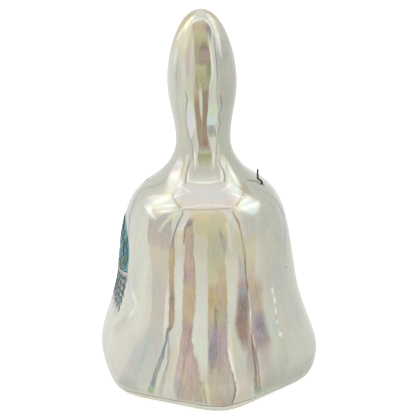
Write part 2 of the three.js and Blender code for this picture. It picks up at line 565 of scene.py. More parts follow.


# Grey and lilac hazes under the streaks: lustre tints, and painted shade over the right side and at both
# limbs
HAZES_AND_PAINTED_SHADE = (
    band((5, 38, 84, Hue.STONE, 0.3), (20, 40, 84), (45, 36, 84, 0.5), (62, 38, 84), (70, 48, 84, 0.35),
         (84, 34, 86, 0.6), (105, 24, 86, 0.75), (120, 28, 86, 0.6), (128, 55, 86, 0.3), edge=8),
    band((5, -100, -70, Hue.STONE, 0.2), (40, -100, -72, 0.3), (70, -100, -66, 0.35), (84, -100, -16, 0.4),
         (110, -100, -22, 0.15), (122, -100, -60, 0.1), edge=8),
    band((10, -39, -29, Hue.MIST, 0.6), (24, -37, -26.5, 0.7), (34, -35.5, -26.5, Hue.HEATHER, 0.55),
         (49, -37.5, -25, Hue.SAND, 0.7), (55.5, -41, -25), (57.5, -43, -24.5, Hue.HEATHER, 0.8),
         (62, -45, -24.5, Hue.PEWTER, 0.75), (66, -47.5, -26, 0.7), fade=3),
    band((5.5, -51, -39.5, Hue.MIST, 0.7), (10, -48, -38.5, Hue.LILAC, 0.4), (20, -43.5, -35),
         (26, -40, -34, Hue.MIST), edge=1.2, fade=3),
    band((26, -49, -41, Hue.CHALK, 0.4), (33, -47, -40, 0.5), (50, -47, -41, 0.3), edge=3, fade=3),
    band((6, 26.5, 37, Hue.PEWTER, 0.6), (9, 27, 37, 0.65), (14.5, 27.5, 35.5, Hue.HEATHER, 0.7),
         (20, 28, 33.5, 0.4), (24, 28, 33.5, 0), (54, 27, 35, Hue.ROSE), (58, 27, 36, 0.25),
         (65, 28, 40, Hue.MAUVE, 0.35), edge=3, fade=3),
    band((7, 31, 43, Hue.PEWTER, 0.6), (14, 35.5, 47, 0.4), edge=4, fade=3),
    band((5, -54, -37, Hue.SAGE, 0.6), (8.5, -48, -38, 0.3), edge=3),
    band((5, 26, 42, Hue.SAGE, 0.7), (8, 27, 38, 0.3), edge=3),
    band((44, 19.5, 26, Hue.SAND, 0.6), (52, 20.5, 26), (57, 19.5, 27, Hue.STRAW, 0.7), (61, 19, 27, 0.6),
         edge=1.5, fade=4),
    band((46, 55, 82, Hue.STONE, 0.1), (54, 55, 82, 0.4), (61, 55, 82, 0.2), edge=6),
    band((6, 74, 79, Hue.LILAC, 0.5), (20, 76, 80, Hue.HEATHER, 0.6), (35, 79, 82, Hue.SAND, 0.7),
         (50, 78.5, 83, Hue.STRAW, 0.6), (62, 77, 84, Hue.LILAC), edge=1.5, fade=3),
    band((12, 84, 90, Hue.STRAW, 0.5), (30, 86, 92, Hue.ROSE, 0.6), (45, 86, 91, Hue.SAGE),
         (58, 84, 90, Hue.LAVENDER, 0.4), edge=2, fade=4),
    band((4, 40, 80, Hue.STONE, 0.55), (9, 44, 80, 0.3), edge=5),
    band((20, -70, -58, Hue.MIST, 0.4), (24, -64, -55, Hue.PEWTER), (27.5, -58, -51.5),
         (30, -55, -50.5, Hue.MIST, 0.2), edge=3),
)

# Streaks left of the front, and the long dark line: lustre colour with painted reflections and highlights
LEFT_FILM_AND_PAINTED_LIGHT = (
    band((12, -24, -18.5, Hue.CREAM), (22, -21.5, -16.5), (29, -19.5, -15.5, Hue.PEARL),
         (40, -19, -15.5, Hue.CHALK), (53, -20.5, -14.5, Hue.PEARL), (57, -20.5, -15, Hue.SAND, 0.7),
         (62, -21, -15, 0.8)),
    band((29.5, -27, -24, Hue.CHALK), (40, -26.5, -24.5), edge=0.4, fade=3),
    band((5, -27, -25, Hue.LILAC, 0.5), (8.5, -25.5, -23.5, 0.7), (18.5, -22.5, -21.5, Hue.PEWTER, 0.85),
         (22, -23, -21.5), (26, -23.5, -23), edge=0.5),
    band((5.5, -33.4, -29.6, Hue.LEAF), (7.6, -31.8, -28.2), (9, -30.4, -29, Hue.TEAL), (14, -28.9, -28.1),
         (18, -27.6, -26.9), (23, -26, -25, Hue.INDIGO, 0.65), (24.5, -25.2, -23.8, 0.75),
         (27.5, -25, -23.2, Hue.VIOLET, 0.85), (29.2, -24.5, -21.5, Hue.PLUM), (30, -24, -20.3, Hue.RUST),
         (32, -24, -20, Hue.COPPER), (38.5, -24, -20.5, Hue.RUST, 0.95), (42, -24, -20.6, 0.85),
         (46.5, -24.4, -21, Hue.BRASS, 0.95), (52.5, -25, -20.6, 0.85), (57, -24.8, -21.2),
         (60, -24, -21.8, Hue.PLUM, 0.8), (63.5, -22.4, -21, Hue.SLATE, 0.85), (66, -21, -19.5),
         (68, -19, -17.5), edge=0.45),
    band((9, -30.2, -27.6, Hue.TEAL, 0.5), (14, -28.8, -26.6), (18, -27.4, -25.6, Hue.SLATE),
         (23, -25.8, -24.4, Hue.INDIGO), edge=0.4),
    band((9.5, -29, -28, Hue.TEAL), (14, -27.2, -26.4), (18, -26.2, -25.5, Hue.SLATE),
         (23, -25, -24.2, Hue.INDIGO), edge=0.4),
    band((28.3, -52.5, -50, Hue.CHALK, 0.5), (31, -51, -48.8, Hue.WHITE, 0.7),
         (34.2, -48.6, -45.4, Hue.CHALK, 0.8), (36.6, -51.5, -47.8, Hue.WHITE, 0.7),
         (38.8, -53.4, -50, Hue.CHALK), (42, -56, -53.4, 0.4), edge=1, fade=2),
)

# The rose run beside the front: lustre colour with painted reflections of the room
ROSE_FILM_AND_PAINTED_LIGHT = (
    band((5, -16.8, -3, Hue.BLUSH), (8, -17.5, -3), (13, -18, -4), (17.5, -17, -5), (20, -16.5, -6.5),
         (22.5, -16, -8.6, Hue.MAUVE), (30.5, -15, -8.4), (33, -15, -8, Hue.ROSE), (35, -15, -7.6, Hue.TAN),
         (43.5, -15, -6.4), (48.5, -15, -6, Hue.MAUVE), (53, -14.5, -7.5, Hue.ROSE), (63, -14, -8.5),
         (65, -13, -9), edge=0.5),
    band((5, -16.9, -15, Hue.LILAC), (8, -17.6, -15.6), (14, -17.5, -15.3), (20, -16.4, -14.8, 0.5),
         edge=0.8),
    band((14, -13.8, -13.1, Hue.MAUVE), (18.5, -13.5, -12.5, Hue.PLUM, 0.6), (24.5, -11.7, -10.8),
         (29.5, -10.4, -9.6, 0.5), (31.5, -10, -9.3, 0), (48.5, -8, -7.2, Hue.UMBER), (50, -8, -7.2, 0.4),
         (62, -8.8, -8.2, 0.5), edge=0.45),
    band((60, -15.2, -14.5, Hue.PLUM), (64, -15.2, -14), (65, -14.5, -10.5, Hue.VIOLET),
         (66.2, -13.5, -9, 0.8), (67.4, -12.2, -6.5, Hue.AMBER, 0.7), edge=0.9),
)

# The gold and blush run down the front: lustre colour with painted reflections and a painted highlight line
MIDDLE_FILM_AND_PAINTED_LIGHT = (
    band((62.5, -8, 15.5, Hue.STRAW), (66, -8.5, 17), (66.7, -9, 17, Hue.AMBER, 0.65), (68.3, -8, 15, 0.6),
         (69.4, -7, 14, Hue.SHELL, 0.4), edge=1),
    band((4.5, -1.8, 0.4, Hue.CREAM), (7, -1.4, 0.6), (13.5, -2.8, -0.9), (19.5, -4.4, -0.7, Hue.CHALK),
         (23, -7, 0), (26.5, -9, 0, 0.8), (40, -6.7, 0.6, Hue.PEARL, 0.85), (53.5, -7, 0.8, Hue.CREAM),
         (61, -7.7, 1.3, Hue.SAND, 0.6)),
    band((4.5, 0.6, 11.6, Hue.BLUSH, 0.8), (7, 0.8, 12.7), (10, 0.5, 13, 0.6), (13.5, -0.4, 12.3),
         (17, -0.3, 11.4, 0.65), (21, 0, 10.7, Hue.LAVENDER, 0.85), (28.5, 0.2, 11),
         (31.5, 0.2, 11.2, Hue.BLUSH), (34.5, 0.3, 11.5, Hue.TAN), (40, 0.6, 12, Hue.GOLD), (44, 0.6, 12.4),
         (47, 0.6, 12.7, Hue.STRAW), (53, 0.8, 12.5, Hue.OLIVE), (57, 1, 13.8, Hue.SAGE),
         (60.5, 1.2, 15, Hue.OLIVE), (63, 1.7, 16, Hue.STRAW), edge=0.45),
    band((17, 5.6, 6.6, Hue.MAUVE, 0.6), (26, 5.4, 6.8, 0.7), (29, 5.4, 6.8, 0), (33, 6.5, 11.8, Hue.ROSE),
         (36, 6.5, 11.8, 0.5), (46, 7, 12.3, 0.6), (51, 7, 12.3, Hue.TAN, 0.5), edge=0.7, fade=3),
    band((16.7, 1.2, 2.2, Hue.SLATE, 0.5), (18.5, 1, 4.5, 0.6), (21.5, 0.4, 5.3, 0.85), (25, 0.8, 5.1),
         (27.5, 2.3, 5, 0.6), (31, 3.9, 5.1, 0.7), (37, 4.5, 5.5, Hue.PLUM, 0.85), (39, 4.7, 5.6, 0),
         (55.5, 11.9, 13.5, Hue.PEWTER), (57, 11.7, 13.7, 0.85), (59.5, 10.3, 14.5), (63, 9, 11)),
    band((8, 13.4, 14.6, Hue.WHITE, 0.4), (10, 13.2, 15, 0.8), (12, 12.9, 14.2, 1), (14.5, 12.2, 14.1),
         (18, 11.3, 12.8), (22.5, 10.2, 11.6, 0.9), (25, 10.6, 11.4, Hue.CHALK, 0.6), edge=0.4),
    band((4.8, 10.7, 11.9, Hue.VIOLET), (7, 11.7, 12.9), (10, 12.3, 13.3), (15.3, 11.3, 12.1), edge=0.4),
    band((4.8, -2.4, -1, Hue.BRASS), (7, -2.6, -1), (12.3, -3.7, -2.5), edge=0.5),
    band((5.5, 0.4, 2.6, Hue.AMBER, 0.7), (10.5, 0, 2.2, 0.6), edge=0.6, fade=2.5),
)

# Streaks and clouds right of the front: lustre colour, a painted dark reflection and painted highlight lines
RIGHT_FILM_AND_PAINTED_LIGHT = (
    band((4.5, 12.5, 22, Hue.SAND, 0.6), (8, 14, 21.5), (19.5, 11.7, 18, Hue.CREAM, 0.7),
         (26, 11, 16.7, 0.85), (40, 12.6, 18, Hue.PEARL), (53, 13, 20, Hue.CREAM),
         (58, 14, 19.5, Hue.STONE, 0.45), (62, 15, 19, 0.4), (67, 18, 21, Hue.CHALK, 0.85)),
    band((22.5, 18.5, 23, Hue.RUST, 0.5), (26, 17.2, 24, Hue.UMBER, 0.85), (31, 15.8, 25.2, 0.95),
         (34.5, 17.2, 26), (38.5, 18.4, 26.6, Hue.PLUM), (41.5, 18.8, 26.6, Hue.SLATE, 0.85),
         (44.5, 19.6, 27, Hue.MAUVE, 0.9), (47, 21, 26, Hue.PEWTER, 0.7), (50, 21.8, 24.4),
         (53.5, 21, 23, 0.5), edge=1.8, fade=2),
    band((10, 20, 24.5, Hue.HEATHER, 0.6), (17, 19.5, 25, Hue.MAUVE), (22.5, 22, 30, 0.8), (26, 24, 29),
         (30, 25.5, 30, Hue.PEWTER, 0.9), (38, 26, 30, 0.85), (43.5, 25.5, 32, Hue.TAN, 0.8),
         (47, 26, 32, 0.6), (51, 25, 34, Hue.STRAW, 0.75), (56, 25, 36, 0.55), (60, 25, 37, 0.4), edge=1.4),
    band((22, 23.4, 24.1, Hue.WHITE, 0), (26, 24.5, 25.2, 0.4), (29.4, 25.8, 26.5, Hue.CHALK, 0.6),
         (33, 26.2, 27, Hue.WHITE, 0.9), (36.3, 26.6, 27.3, Hue.CHALK, 0.7), (42, 26.2, 26.8, 0.5),
         edge=0.35),
    band((19, 29, 37, Hue.HEATHER, 0.7), (22, 28, 38, Hue.MAUVE, 0.85), (24.5, 28.5, 37.5, Hue.VIOLET, 0.7),
         (28, 28.5, 37.2, 0.9), (31, 29, 36.4, 0.8), (34, 29, 36, Hue.ROSE, 0.9), (41.5, 29.5, 37.5, 0.95),
         (46, 31, 37, Hue.SAND, 0.7), edge=2.8, fade=3.5),
    band((22.8, 44.4, 47, Hue.WHITE, 0.9), (24, 44, 46, Hue.CHALK, 0.2),
         (25.6, 44.2, 45.6, Hue.PEWTER, 0.7), (27, 44.6, 46.4, Hue.WHITE),
         (28.6, 44.6, 46, Hue.PEWTER, 0.6), (30.8, 44.8, 46.6, Hue.WHITE, 0.9),
         (32.6, 45, 46.4, Hue.CHALK, 0.2), (34.6, 45.4, 47.4, Hue.WHITE, 1),
         (36.4, 45, 46.6, Hue.CHALK, 0.3), (38.8, 44.4, 46, Hue.WHITE, 1), edge=0.5),
    band((6.5, 22.9, 26.8, Hue.UMBER, 0.5), (11, 22.6, 26.4, 0.4), (16, 24.4, 27),
         (20, 24.8, 26.8, Hue.PLUM, 0.5), edge=0.6),
    band((5.5, 23.7, 27.2, Hue.LEAF), (6.8, 23.5, 26.5), (7.8, 23.1, 24.6, Hue.PLUM),
         (11, 23.4, 24.7, Hue.UMBER), (16, 24.3, 25.4), (21.7, 24.6, 25.7, Hue.PLUM), (25, 24.7, 26),
         (27, 24.7, 26, 0), (40.5, 25.3, 26.7), (42, 25.3, 26.7, 0.85), (46, 25.1, 26.2), (51.5, 25, 26.5),
         (54.5, 24.7, 27.2, Hue.BRASS), (59.5, 25, 26.5), (62.5, 25.1, 26.1, Hue.RUST),
         (65, 23.7, 26.3, Hue.COPPER), (67.5, 22.3, 24.3, Hue.ROSE), edge=0.45),
    band((6.5, 26.1, 27.2, Hue.UMBER, 0.7), (10.7, 25.7, 26.5), (15.5, 26.2, 27, Hue.PLUM),
         (18.8, 26.1, 26.8, 0.6), (20, 26.2, 26.9, 0), (21, 26.2, 26.9, Hue.CHALK), (22, 26.2, 26.9, 0.85),
         (25, 26.2, 26.8), edge=0.4),
)

# Painted highlights on the shoulder, and the pale oval with its rows of dots, a painted reflection of the
# lamps
SHOULDER_PAINTED_LIGHT = (
    band((65.4, -46, -39, Hue.CHALK, 0.6), (66.2, -50, -43, Hue.WHITE, 0.7), (67.3, -57, -49, 0.8),
         (68.6, -61, -50, Hue.SKY), (69.8, -62, -42, Hue.WHITE, 0.95), (71, -57, -37),
         (72.2, -44, -35.5, Hue.BUTTER, 0.9), edge=2, fade=0.6),
    band((68.4, -48, -42, Hue.BUTTER, 0.8), (69.1, -43, -34, Hue.SKY, 0.9), (69.8, -36, -28, Hue.WHITE),
         (70.4, -30, -24, Hue.SKY), edge=1.2, fade=0.5),
    band((67.5, -41, -36, Hue.BUTTER, 0.7), (68.2, -37, -29, Hue.WHITE, 0.9),
         (68.9, -30, -22.5, Hue.BUTTER), edge=1.2, fade=0.4),
    band((62, -35.5, -33.5, Hue.CHALK, 0.5), (65, -33.5, -30, Hue.BUTTER, 0.7), (67.3, -29, -24.5, 0.8),
         (68.2, -26, -22.5, Hue.CHALK, 0.7), edge=1, fade=0.6),
    band((66.3, 40, 46, Hue.SKY, 0.6), (67.4, 31, 50, 0.8), (68.4, 27.5, 53, Hue.WHITE, 0.9),
         (69.4, 27.5, 52, Hue.SKY), (70.2, 37, 50, Hue.WHITE, 0.8), (70.9, 43, 48, 0.7), edge=1.6,
         fade=0.5),
    band((68, 26.5, 31.5, Hue.BUTTER, 0.8), (69.5, 26.5, 33), edge=1.2, fade=0.5),
    band((70.6, 47, 51, Hue.AMBER, 0.3), (72, 45, 53, Hue.TAN, 0.7), (73.2, 45, 56, 0.5), edge=2),
    band((69.3, -22.5, 29.5, Hue.TAN, 0.6), (71.1, -31, 39, 0.75), (72.3, -37.5, 48, 0.6),
         (73.4, -36, 46, Hue.ROSE, 0.4), (74.7, -31, 39, 0.2), edge=0.8, fade=0.4),
    band((69.8, -20.5, 27.5, Hue.SHELL, 0.8), (71.1, -28, 35.5, 0.9), (72.3, -34, 44, Hue.VEIL),
         (73.6, -32.5, 42), (75, -28.5, 36, 0.8), edge=0.8, fade=0.3),
    band((69.45, -22.5, -19, Hue.WHITE, 1), (69.85, -20, -13), (70.2, -14, -6), (70.5, -8, 4), edge=0.8,
         fade=0.35, dots=2.5),
    band((69.15, 25, 28.6, Hue.WHITE, 1), (69.55, 19, 26), (70, 12, 20), (70.45, 2, 13), edge=0.8,
         fade=0.35, dots=2.5),
    band((71.9, -33, -30, Hue.WHITE, 1), (72.5, -30.5, -26), (73, -26.5, -21.5, 0.9),
         (73.4, -22, -18, Hue.BUTTER, 0.8), edge=0.8, fade=0.35, dots=2.5),
    band((71.2, 36.5, 39.5, Hue.WHITE, 1), (72, 31, 36), (72.7, 26, 31.5, 0.9),
         (73.3, 21, 26, Hue.BUTTER, 0.8), edge=0.8, fade=0.35, dots=2.5),
    band((73.4, -19, -14.5, Hue.BUTTER, 0.9), (73.9, -22.5, -17, Hue.WHITE), (74.3, -26.5, -22, 0.85),
         (74.8, -34, -28, Hue.CHALK, 0.8), edge=1, fade=0.25),
    band((73.6, 17.5, 22, Hue.BUTTER, 0.9), (74, 20.5, 25.5, Hue.WHITE), (74.3, 25, 30, 0.85),
         (74.8, 32, 38.5, Hue.CHALK, 0.8), edge=1, fade=0.25),
    band((76, -13, 11, Hue.WHITE, 1), (76.3, -22, 25), edge=1.5, fade=0.3),
    band((76.4, -24.5, -20, Hue.WHITE, 1), (77.3, -26.4, -22.8, 0.95), (78.5, -27, -24.3, 0.9),
         (80, -27.5, -25.5, Hue.CHALK, 0.6), edge=0.8, fade=0.4),
    band((76.3, 22.5, 27, Hue.WHITE, 1), (77.3, 25, 29.6, 0.95), (78.6, 26.5, 31, 0.9),
         (80, 28.5, 31.5, Hue.CHALK, 0.6), edge=0.8, fade=0.4),
    band((76, -26.5, -24.3, Hue.SLATE, 0.7), (78, -29.2, -27, 0.8), (80.1, -29.5, -27.5),
         (82.5, -26.5, -24.5, Hue.PEWTER, 0.6), edge=0.6, fade=0.6),
    band((76.1, 27.2, 29.5, Hue.SLATE, 0.7), (77.2, 29.8, 32, 0.8), (78.6, 31.4, 33.6), (80, 31, 33, 0.7),
         (82.5, 27, 29, Hue.PEWTER, 0.6), edge=0.6, fade=0.6),
    band((41, -59.3, -57.8, Hue.PEWTER, 0.5), (51, -64.8, -62.8), (57.7, -68.6, -66, Hue.SLATE),
         (63.3, -74.5, -71, 0.6), (65.3, -77.3, -73.3), (67.7, -80.5, -76, Hue.PEWTER),
         (69.3, -84, -79, 0.5), (70.4, -83, -77, 0.4), (71.6, -77, -71, 0.5), (73.5, -65, -61, 0.6),
         (75, -62, -58.5, 0.5), edge=0.7),
    band((48, 62, 63.6, Hue.PEWTER, 0.5), (52.8, 66.3, 68.5, Hue.SLATE, 0.7), (56.2, 70.8, 73.8, 0.8),
         (60, 75, 79), (64.1, 74.4, 78, 0.7), (66, 74, 77.5, Hue.PEWTER, 0.6), (68.1, 71.3, 74.5),
         (70.3, 67.5, 70.5, 0.5), (71.5, 60, 64, 0.3), edge=0.8),
)

# Painted highlights, reflections and shade on the neck
NECK_PAINTED_LIGHT = (
    band((75.2, -58, -38, Hue.SKY, 0.8), (77, -60, -39, Hue.WHITE, 0.95), (79, -60, -39, Hue.BLOOM, 0.85),
         (81, -58, -40, Hue.WHITE, 0.9), (82.6, -55, -45, Hue.SKY, 0.6), edge=2),
    band((75.6, -34.4, -28.5, Hue.WHITE, 0.9), (77.8, -36.4, -30.5, Hue.BUTTER), (80.5, -37.5, -31),
         (83.4, -37, -29, Hue.CHALK, 0.7), edge=1),
    band((79.6, 33.5, 39, Hue.WHITE, 0.9), (81, 32, 43), (83, 33, 45, Hue.BUTTER, 0.8), edge=1.2),
    band((74.6, 43.7, 47.5, Hue.CHALK, 0.9), (76.8, 43, 50, Hue.WHITE, 0.95), (79, 42, 51),
         (81.3, 41, 50, Hue.BUTTER, 0.9), edge=1.2),
    band((76.8, -19, 21, Hue.VEIL, 0.6), (78.4, -22, 25, Hue.MIST), (80.3, -22, 25, Hue.HEATHER, 0.5),
         (81, -20, 23, Hue.MIST, 0.4), edge=2, fade=0.6),
    band((81, -17, -13.5, Hue.CHALK, 0.6), (84.5, -19.5, -15, Hue.WHITE, 0.75),
         (86, -20, -16, Hue.CHALK, 0.3), edge=0.8),
    band((81.4, 17.5, 20.5, Hue.CHALK, 0.6), (84.3, 19, 23.5, Hue.WHITE, 0.75),
         (86, 19, 23, Hue.CHALK, 0.3), edge=0.8),
    band((81.1, -19.5, -17.5, Hue.PEWTER, 0.6), (84.7, -23.5, -21, Hue.SLATE, 0.7),
         (89.5, -26, -23.4, Hue.PEWTER, 0.8), (91.5, -20, -17, 0.4), edge=0.7),
    band((81.3, 20.8, 22.8, Hue.PEWTER, 0.6), (84.5, 24.5, 27, Hue.SLATE, 0.7),
         (89.2, 28, 31, Hue.PEWTER, 0.8), (91.5, 24, 27, 0.4), edge=0.7),
    band((81, -9, 13, Hue.SAGE, 0.6), (82, -11.2, 15.5, 0.9), (84.4, -11.8, 17, Hue.MOSS),
         (85.6, -11.8, 17, Hue.LEAF, 0.6), (86.2, -10, 15, Hue.MAUVE, 0.8), (89, -9.5, 12, Hue.UMBER, 0.7),
         (91, -10, 11, Hue.TAN, 0.6), edge=1, fade=0.6),
)

# Runs of lustre on the handle, with painted highlights, reflections and shade
HANDLE_FILM_AND_PAINTED_LIGHT = (
    band((118, -60, -22, Hue.STRAW, 0.2), (124, -66, -21, Hue.BUTTER, 0.7), (128, -80, -26, 0.8),
         (131, -100, -30, Hue.AMBER, 0.7), edge=5, fade=3),
    band((120, -100, -66, Hue.AMBER, 0.4), (126, -100, -62, 0.8), (131, -100, -46, 0.7), edge=8),
    band((128.5, 62, 100, Hue.AMBER, 0.2), (130.5, 52, 100, 0.8), (132, 45, 100, 0.9), edge=6),
    band((106, -24, -13, Hue.SAND, 0.3), (115, -28, -12, Hue.HEATHER, 0.55), (122, -30, -14, Hue.SAND, 0.6),
         (126, -29, -19, Hue.STRAW, 0.5), edge=2, fade=3),
    band((106, -48, -36, Hue.PEWTER, 0.2), (113, -50, -36, 0.45), (117, -46, -37, 0.2), edge=3),
    band((122, -38, -30, Hue.BUTTER, 0.7), (125, -37.5, -28.5, 0.95), (128.4, -41, -29, 0.9), edge=2,
         fade=2),
    band((117, -58, -50, Hue.BLOOM, 0.7), (119.6, -60, -49.5, 0.8), edge=2, fade=2),
    band((88, -9, -1, Hue.RUST, 0.7), (91, -12, -1, 0.9), (97, -12.5, -2, 1), (99.5, -13.2, -4.6),
         (103, -13.7, -5), (108, -14, -5, Hue.TAN, 0.9), (110, -13, -5, Hue.OLIVE, 0.8), edge=0.7),
    band((88, -0.2, 9, Hue.UMBER, 0.95), (90.5, -1, 9, 0.85), (96, -1.4, 7, 0.95), (103, 0.2, 9.6),
         (108, 0, 10.7, 0.9), (110.5, 0, 11, Hue.MOSS, 0.8), edge=0.7),
    band((109, -12.2, 11, Hue.MOSS, 0.7), (112, -12, 14.5, 0.9), (116, -11.5, 16.5, Hue.OLIVE, 0.85),
         (117.3, -11.6, 16.8, Hue.MOSS), (122.6, -13.7, 17.8), (126.3, -19, 24.3, Hue.OLIVE),
         (128, -24, 27.5, Hue.TAN), (129.3, -27, 27, 0.7), edge=2),
    band((116.6, -4, 12, Hue.PLUM, 0.4), (118, -7, 15.8, Hue.MAUVE, 0.85), (120.5, -5.5, 15.4, 0.95),
         (122, -2, 13.6, Hue.PLUM, 0.8), (123.2, 1, 10, 0.5), edge=2.4, fade=1),
    band((109, 3, 8, Hue.SAGE, 0.4), (113, 7.5, 14.5, Hue.FERN, 0.8), (117.2, 8, 16.3, 0.9), edge=0.9),
    band((124, 13, 18.5, Hue.PEWTER, 0.4), (126, 13, 24, Hue.SLATE, 0.7), (128.4, 13, 28.5, 0.8),
         (129.6, 8, 27, Hue.PEWTER, 0.5), edge=1),
    band((99.5, -4.6, -2, Hue.SAND, 0.5), (104, -4.4, -1, Hue.CREAM, 0.6), (109, -4, -1, 0.3), edge=0.9,
         fade=2),
    band((109.3, 12, 13.4, Hue.CHALK, 0.7), (112.1, 16, 17.8, Hue.WHITE, 0.8), (115, 18.4, 20.4, 0.85),
         (118, 17.4, 19.4), (122, 16.8, 18.6), (125.7, 16.4, 18, Hue.CHALK, 0.7), edge=0.6),
    band((103, 23.5, 25.5, Hue.PEWTER, 0.5), (108, 23, 25, 0.7), (112, 24.5, 26.6, Hue.SLATE),
         (117, 26, 28, 0.8), (121, 26, 28), (125.1, 29, 31.5, Hue.PEWTER), edge=0.7),
    band((119.2, 35.5, 40, Hue.BLOOM, 0.7), (122.2, 34, 42.5, 0.95), (125.6, 35, 47, Hue.WHITE),
         (128.2, 34.5, 48, Hue.BUTTER, 0.9), edge=1.4),
    band((91, -28, -21.5, Hue.BLOOM, 0.8), (95.3, -31.6, -14.6, 0.9), (100.3, -29, -14.5, Hue.SKY),
         (104, -24, -20, Hue.CHALK, 0.7), edge=0.8, fade=0.8),
    band((90.5, -31, -28.5, Hue.PEWTER, 0.7), (95, -34.5, -32.2, 0.8), (100, -31.8, -29.6),
         (104.5, -26, -24, Hue.PLUM), (107, -29, -27, 0.5), edge=0.6),
    band((95.6, 9, 26.7, Hue.SKY, 0.8), (97.8, 7.3, 27, 0.9), (100.2, 9, 26.7, Hue.MINT, 0.95),
         (102.6, 12.5, 25, 0.8), edge=0.8, fade=0.5),
    band((91, 11, 27, Hue.FERN, 0.4), (93, 9, 25, Hue.SLATE, 0.7), (95, 8.6, 22, 0.6), edge=1.5, fade=0.5),
    band((89.5, 32.5, 35, Hue.PEWTER, 0.6), (91.5, 29.6, 32, Hue.SLATE, 0.8), (94.7, 33.4, 36),
         (98.2, 28.6, 31), (101.7, 33.4, 36.4), (105, 30, 32.5, Hue.PLUM, 0.7), edge=0.6),
    band((123.6, -66, -58, Hue.WHITE, 0.7), (125.8, -60.5, -52, 0.9), (127.7, -54, -46), (129.5, -48, -40),
         (131, -41, -28), (131.8, -34, 36, Hue.CREAM), edge=1.5, fade=0.3),
    band((129.2, 47.5, 54, Hue.CHALK, 0.7), (130.8, 42, 52, Hue.WHITE, 0.9), (131.8, 30, 48), edge=1.5,
         fade=0.3),
    band((128.4, -34, -28.5, Hue.CHALK, 0.7), (129.4, -31, -24, Hue.WHITE, 0.9), (130.2, -27, -15),
         (130.6, -20, 19), edge=1.2, fade=0.3),
    band((125.5, 30, 33, Hue.CHALK, 0.8), (127.6, 28, 31.6, Hue.WHITE, 0.9), (129.3, 24, 29),
         (130.3, 13, 25), edge=1, fade=0.3),
)
FILM_AND_PAINTED_LIGHT = HAZES_AND_PAINTED_SHADE + LEFT_FILM_AND_PAINTED_LIGHT + ROSE_FILM_AND_PAINTED_LIGHT + MIDDLE_FILM_AND_PAINTED_LIGHT + RIGHT_FILM_AND_PAINTED_LIGHT + SHOULDER_PAINTED_LIGHT + NECK_PAINTED_LIGHT + HANDLE_FILM_AND_PAINTED_LIGHT


@dataclass(frozen=True)
class Mottle:
    """Noises that break up the lustre, each from 0 to 1 and stretched to run down the bell."""

    broad: Signal
    patches: Signal
    swirl: Signal
    strands: Signal
    blots: Signal
    fine: Signal
    grit: Signal

    @classmethod
    def over(cls, recipe: Recipe, across: Signal, ahead: Signal, up: Signal) -> "Mottle":
        """Wraps the noises round the bell.

        Args:
            recipe: The material.
            across: Place from left to right, as a share of the bell's radius there.
            ahead: Place from front to back, as a share of the bell's radius there.
            up: Height, in metres.

        Returns:
            The noises.
        """
        around = recipe.join(across, ahead, up * 9.0)
        return cls(
            broad=recipe.noise(around, 3.4, 3.0),
            patches=recipe.noise(around, 7.5, 2.0),
            swirl=recipe.noise(around, 11.0, 3.0, 0.6),
            strands=recipe.noise(recipe.join(across, ahead, up * 1.2), 17.0, 3.0, 0.65),
            blots=recipe.noise(recipe.join(across, ahead, up * 14.0), 24.0, 3.0, 0.6),
            fine=recipe.noise(recipe.join(across, ahead, up * 2.2), 62.0, 3.0, 0.6),
            grit=recipe.noise(recipe.point(), 2400.0, 2.0, 0.6),
        )


